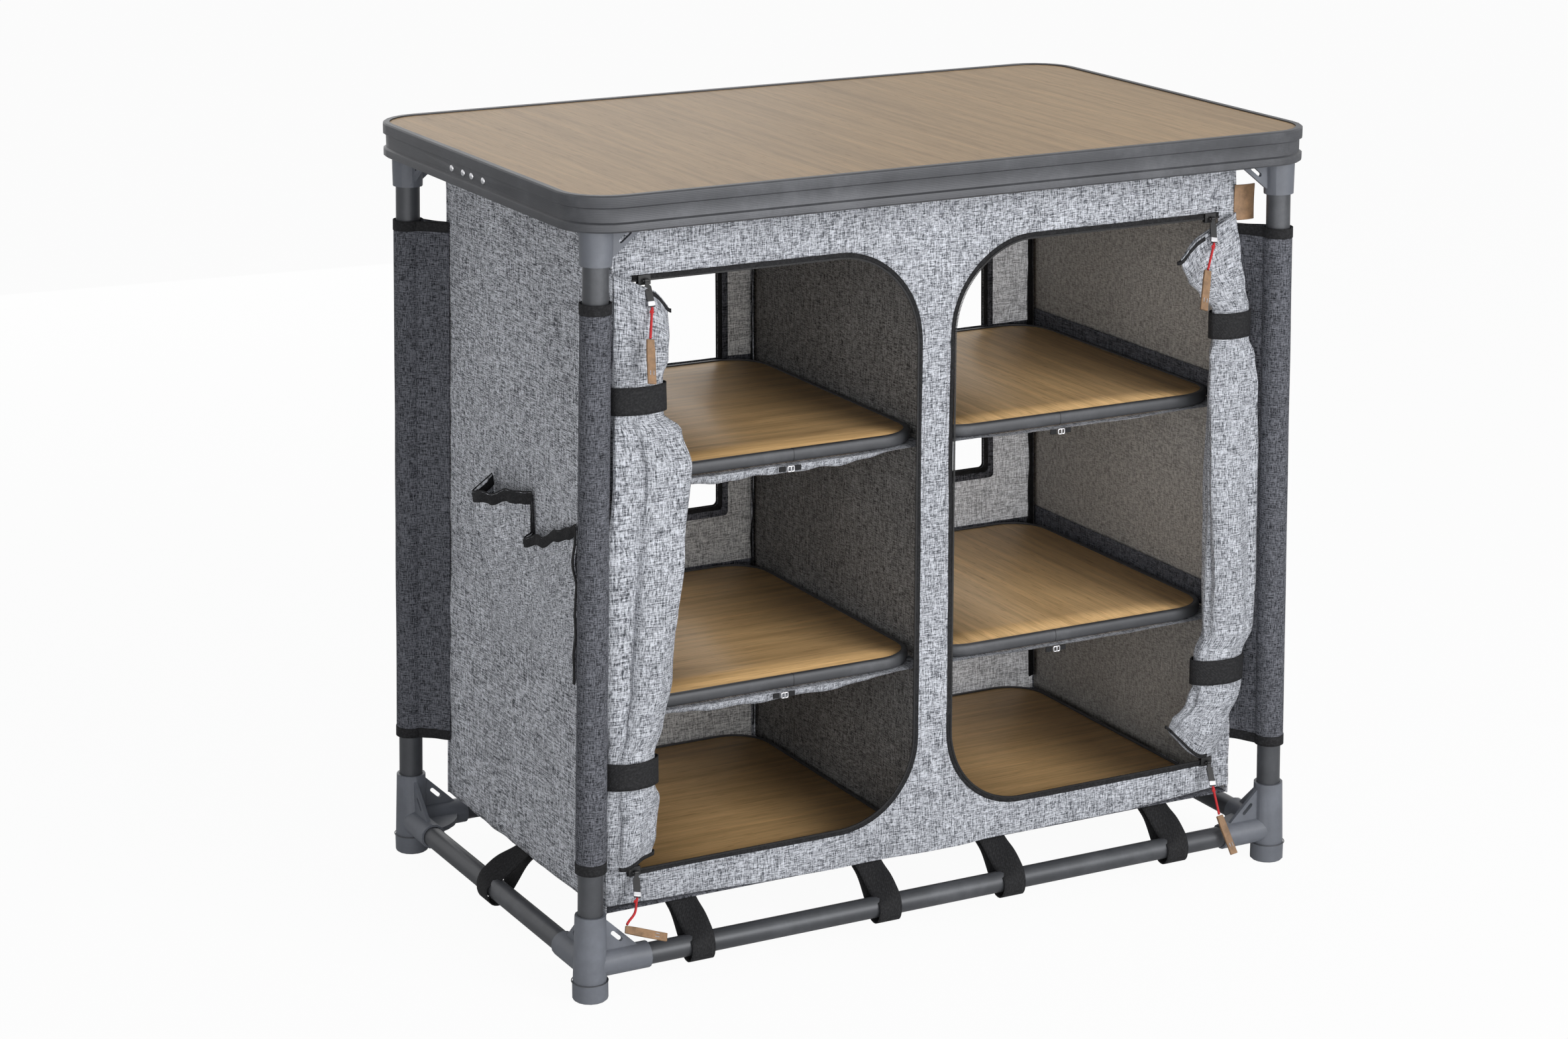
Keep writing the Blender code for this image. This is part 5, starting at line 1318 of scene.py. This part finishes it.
def base_straps():
    """Ten loops of webbing: four round each long rail and one round each short one."""
    places = []
    for name_y, sy in ROWS:
        run = strap_run(sy * LEG_Y, sy * (INNER_HALF_Y - STRAP_INSET))
        for index, x in enumerate(BASE_STRAP_X):
            places.append((f"base_strap_{name_y}_{index + 1}", run, x, False))
    for name_x, sx in SIDES:
        run = strap_run(sx * LEG_X, sx * (BODY_HALF_X - 0.0025 - STRAP_INSET))
        places.append((f"base_strap_{name_x}", run, SIDE_STRAP_Y, True))
    for name, run, middle, sideways in places:
        last = len(run) - 1

        def place(u, v, run=run, middle=middle, sideways=sideways, last=last):
            here = run[round(u * last)]
            free = math.sin(math.pi * clamp(u if u < 0.5 else 1 - u) * 1.4)
            twist = (v - 0.5) * STRAP_TWIST * free * (1 if u < 0.5 else -1)
            across = middle + (v - 0.5) * (BASE_STRAP_WIDTH - STRAP_NARROWS * free)
            lift = twist * bump(here.y, 0.057, 0.022) - STRAP_SAG * bump(here.y, BASE_RAIL_Z - RAIL_R, 0.014)
            return (here.x, across, here.y + lift) if sideways else (across, here.x, here.y + lift)
        bm = bent_grid(last, 6, place, (last * STRAP_PITCH, BASE_STRAP_WIDTH))
        on_cupboard(name, bm, WEBBING, ("base_straps",), wall=0.0013)


# side pocket and tag

POCKET_FOOT_Z = 0.290
POCKET_MOUTH_Z = 0.456
POCKET_STEP = 0.036
POCKET_BACK_Y = 0.074
POCKET_SEAM_Y = -0.028
POCKET_FRONT_Y = -0.131
# how far the back pouch's mouth stands off the wall, and the front one's share of that
POCKET_STAND = 0.026
FRONT_STAND_SHARE = 0.42
POCKET_FOLD = 0.0052
POCKET_LENGTH = 0.215
POCKET_STITCH = (0.0025, 0.0006, 0.0006)
# rows of a pouch's mouth: share of its length, how far it stands off and how high it lifts
BACK_POUCH_SHARES = (
    (0.00, 0.00, 0.00), (0.06, 1.00, -0.40), (0.35, 0.80, -0.24), (0.65, 0.48, -0.05),
    (0.88, 0.22, 0.08), (1.00, 0.00, 0.12),
)
FRONT_POUCH_SHARES = (
    (0.00, 0.00, 0.00), (0.06, 1.00, -0.10), (0.35, 0.80, 0.16), (0.65, 0.48, 0.46),
    (0.88, 0.22, 0.74), (1.00, 0.00, 0.90),
)


def pocket_place(u, v, off=0.0):
    """A point of the pocket: u runs from its back end to its front end, v from foot to mouth."""
    back = u < 0.5
    share = u * 2 if back else (u - 0.5) * 2
    start = POCKET_BACK_Y if back else POCKET_SEAM_Y
    end = POCKET_SEAM_Y if back else POCKET_FRONT_Y
    stand, lift = eased_row(BACK_POUCH_SHARES if back else FRONT_POUCH_SHARES, share)[1:]
    stand *= POCKET_STAND * (1 if back else FRONT_STAND_SHARE)
    mouth = POCKET_MOUTH_Z - (0 if back else POCKET_STEP) + POCKET_STEP * lift
    y = start + (end - start) * share
    mouth += 0.0022 * math.sin(y * 120 + 0.6) * bump(share, 0.5, 0.5)
    z = POCKET_FOOT_Z + (mouth - POCKET_FOOT_Z) * v
    fold = waver(y * 46 + z * 30, z * 12, 0.8) * POCKET_FOLD * (0.3 + v * 0.7)
    reach = splayed_x(BODY_HALF_X, z) + 0.0030 + stand * v ** 1.5 + max(fold, -0.0016) + off
    return Vector((-reach, y, z))


def side_pocket():
    """The double pouch on the left wall, with its bound mouth, a black strip of painted shadow down its front
    edge, and its stitches.
    """
    bm = bent_grid(96, 40, pocket_place, (POCKET_LENGTH, 0.16))
    sheet = on_cupboard("pocket_cloth", bm, SIDE_HEATHER_PAINTED_LIT_UV, ("side_pocket",), wall=0.0011)
    sheet_width(pocket_place, 96)

    def binding(u, v):
        fold = abs(v - 0.5) * 2
        off = 0.0011 if v > 0.5 else -0.0011
        point = pocket_place(u, 1.0 - 0.072 * fold, off * min(1, fold * 4))
        if fold < 0.3:
            point.z += 0.0012 * (1 - fold / 0.3)
        return point
    bm = bent_grid(96, 8, binding, (POCKET_LENGTH, 0.022))
    on_cupboard("pocket_binding", bm, BINDING, wall=0.0008)

    # painted shadow: a black strip down the front edge, where the fold there lies in shade
    def front_edge_shadow(u, v):
        sway = waver(v * 9, 2.0, 0.3) * 0.0025
        return pocket_place(0.988, v) + Vector((-0.0012, -0.0042 * u + sway, 0))
    bm = bent_grid(3, 60, front_edge_shadow, (0.004, 0.13))
    on_cupboard("pocket_edge_painted_shadow", bm, BINDING, wall=0.0008)
    out = Vector((-1, 0, 0))
    for name, u in (("back", 0.008), ("seam", 0.5), ("front", 0.992)):
        path = [pocket_place(u, k / 30) for k in range(29)]
        stitches = row_of_blocks(path, 0.0038, POCKET_STITCH, out, 0.0011)
        on_cupboard(f"pocket_stitches_{name}", stitches, THREAD)


def leather_tag():
    """The bare leather tag, slightly curled."""
    box_low, box_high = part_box("leather_tag")
    low = Vector(box_low)
    size = Vector(box_high) - low

    def place(u, v):
        curl = -0.0022 * math.sin(math.pi * u * 0.9) + 0.0006 * math.sin(math.pi * v)
        return (low.x - 0.004 + (size.x + 0.004) * u, low.y + curl, low.z + size.z * v)
    bm = bent_grid(16, 24, place, (size.x, size.z))
    on_cupboard("bare_tag", bm, LEATHER, ("leather_tag",), wall=0.0016, bevel=0.0004)


# setting

# soft square lamps: place, size and power
LAMPS = {
    "key": ((1.2, -3.5, 1.6), 2.0, 84),
    "fill": ((-2.6, -2.8, 1.0), 2.2, 32),
    "low": ((-0.5, -3.0, 0.55), 1.6, 18),
    "back": ((0.3, 3.0, 1.0), 2.4, 16),
}
LAMP_AIM = (0, 0, 0.42)
WORLD_FILL = 0.31
FLOOR_GLOW = 0.95


def mixed_shaders(tree, share, first, second, output):
    """Two shaders mixed by a share, joined to the surface of an output node."""
    mix = add_node(tree, "ShaderNodeMixShader")
    tree.links.new(share, mix.inputs["Fac"])
    tree.links.new(first, mix.inputs[1])
    tree.links.new(second, mix.inputs[2])
    tree.links.new(mix.outputs["Shader"], tree.nodes[output].inputs["Surface"])


def studio():
    """The camera of the photograph, a white world and floor, and four soft lamps."""
    scene = bpy.context.scene
    scene.view_settings.view_transform = "Standard"
    camera_data = bpy.data.cameras.new("camera")
    camera_data.lens = CAMERA_LENS
    camera_data.sensor_width = CAMERA_SENSOR
    camera_data.sensor_fit = "HORIZONTAL"
    camera = bpy.data.objects.new("camera", camera_data)
    camera.location = CAMERA_PLACE
    camera.rotation_euler = CAMERA_TURN
    scene.collection.objects.link(camera)
    scene.camera = camera

    world = bpy.data.worlds.new("studio")
    scene.world = world
    world.use_nodes = True
    tree = world.node_tree
    backdrop = tree.nodes["Background"]
    backdrop.inputs["Color"].default_value = (1, 1, 1, 1)
    backdrop.inputs["Strength"].default_value = 1.0
    fill = add_node(tree, "ShaderNodeBackground")
    fill.inputs["Color"].default_value = (0.96, 0.98, 1.0, 1)
    fill.inputs["Strength"].default_value = WORLD_FILL
    path = add_node(tree, "ShaderNodeLightPath")
    seen = math_value(tree, "MAXIMUM", path.outputs["Is Camera Ray"], path.outputs["Is Transmission Ray"])
    seen = math_value(tree, "MAXIMUM", seen, path.outputs["Is Glossy Ray"])
    mixed_shaders(tree, seen, fill.outputs["Background"], backdrop.outputs["Background"], "World Output")

    floor_mat, tree, shader = plain_material("white floor", (0.93, 0.93, 0.93), 0.9)
    glow = add_node(tree, "ShaderNodeEmission")
    glow.inputs["Color"].default_value = (1, 1, 1, 1)
    path = add_node(tree, "ShaderNodeLightPath")
    share = math_value(tree, "MULTIPLY", path.outputs["Is Camera Ray"], FLOOR_GLOW)
    mixed_shaders(tree, share, shader.outputs["BSDF"], glow.outputs["Emission"], "Material Output")
    bm = bmesh.new()
    bmesh.ops.create_grid(bm, x_segments=1, y_segments=1, size=14)
    mesh = bpy.data.meshes.new("floor")
    bm.to_mesh(mesh)
    bm.free()
    mesh.materials.append(floor_mat)
    floor = bpy.data.objects.new("floor", mesh)
    floor.location.z = -0.0005
    scene.collection.objects.link(floor)

    for name, (place, size, power) in LAMPS.items():
        lamp = bpy.data.lights.new(name, "AREA")
        lamp.shape = "SQUARE"
        lamp.size = size
        lamp.energy = power
        light = bpy.data.objects.new(name, lamp)
        light.location = place
        aim = Vector(LAMP_AIM) - Vector(place)
        light.rotation_euler = aim.to_track_quat("-Z", "Y").to_euler()
        scene.collection.objects.link(light)


studio()
pulls()
dress_frame()
foot_rings()
rim_rivets()
shelves()
front_cloth()
side_walls()
back_wall()
inner_seams()
wall_bands()
divider_and_slings()
sling_clips()
floor_and_cover()
leg_sleeves()
zips()
door_rolls()
base_straps()
side_pocket()
leather_tag()
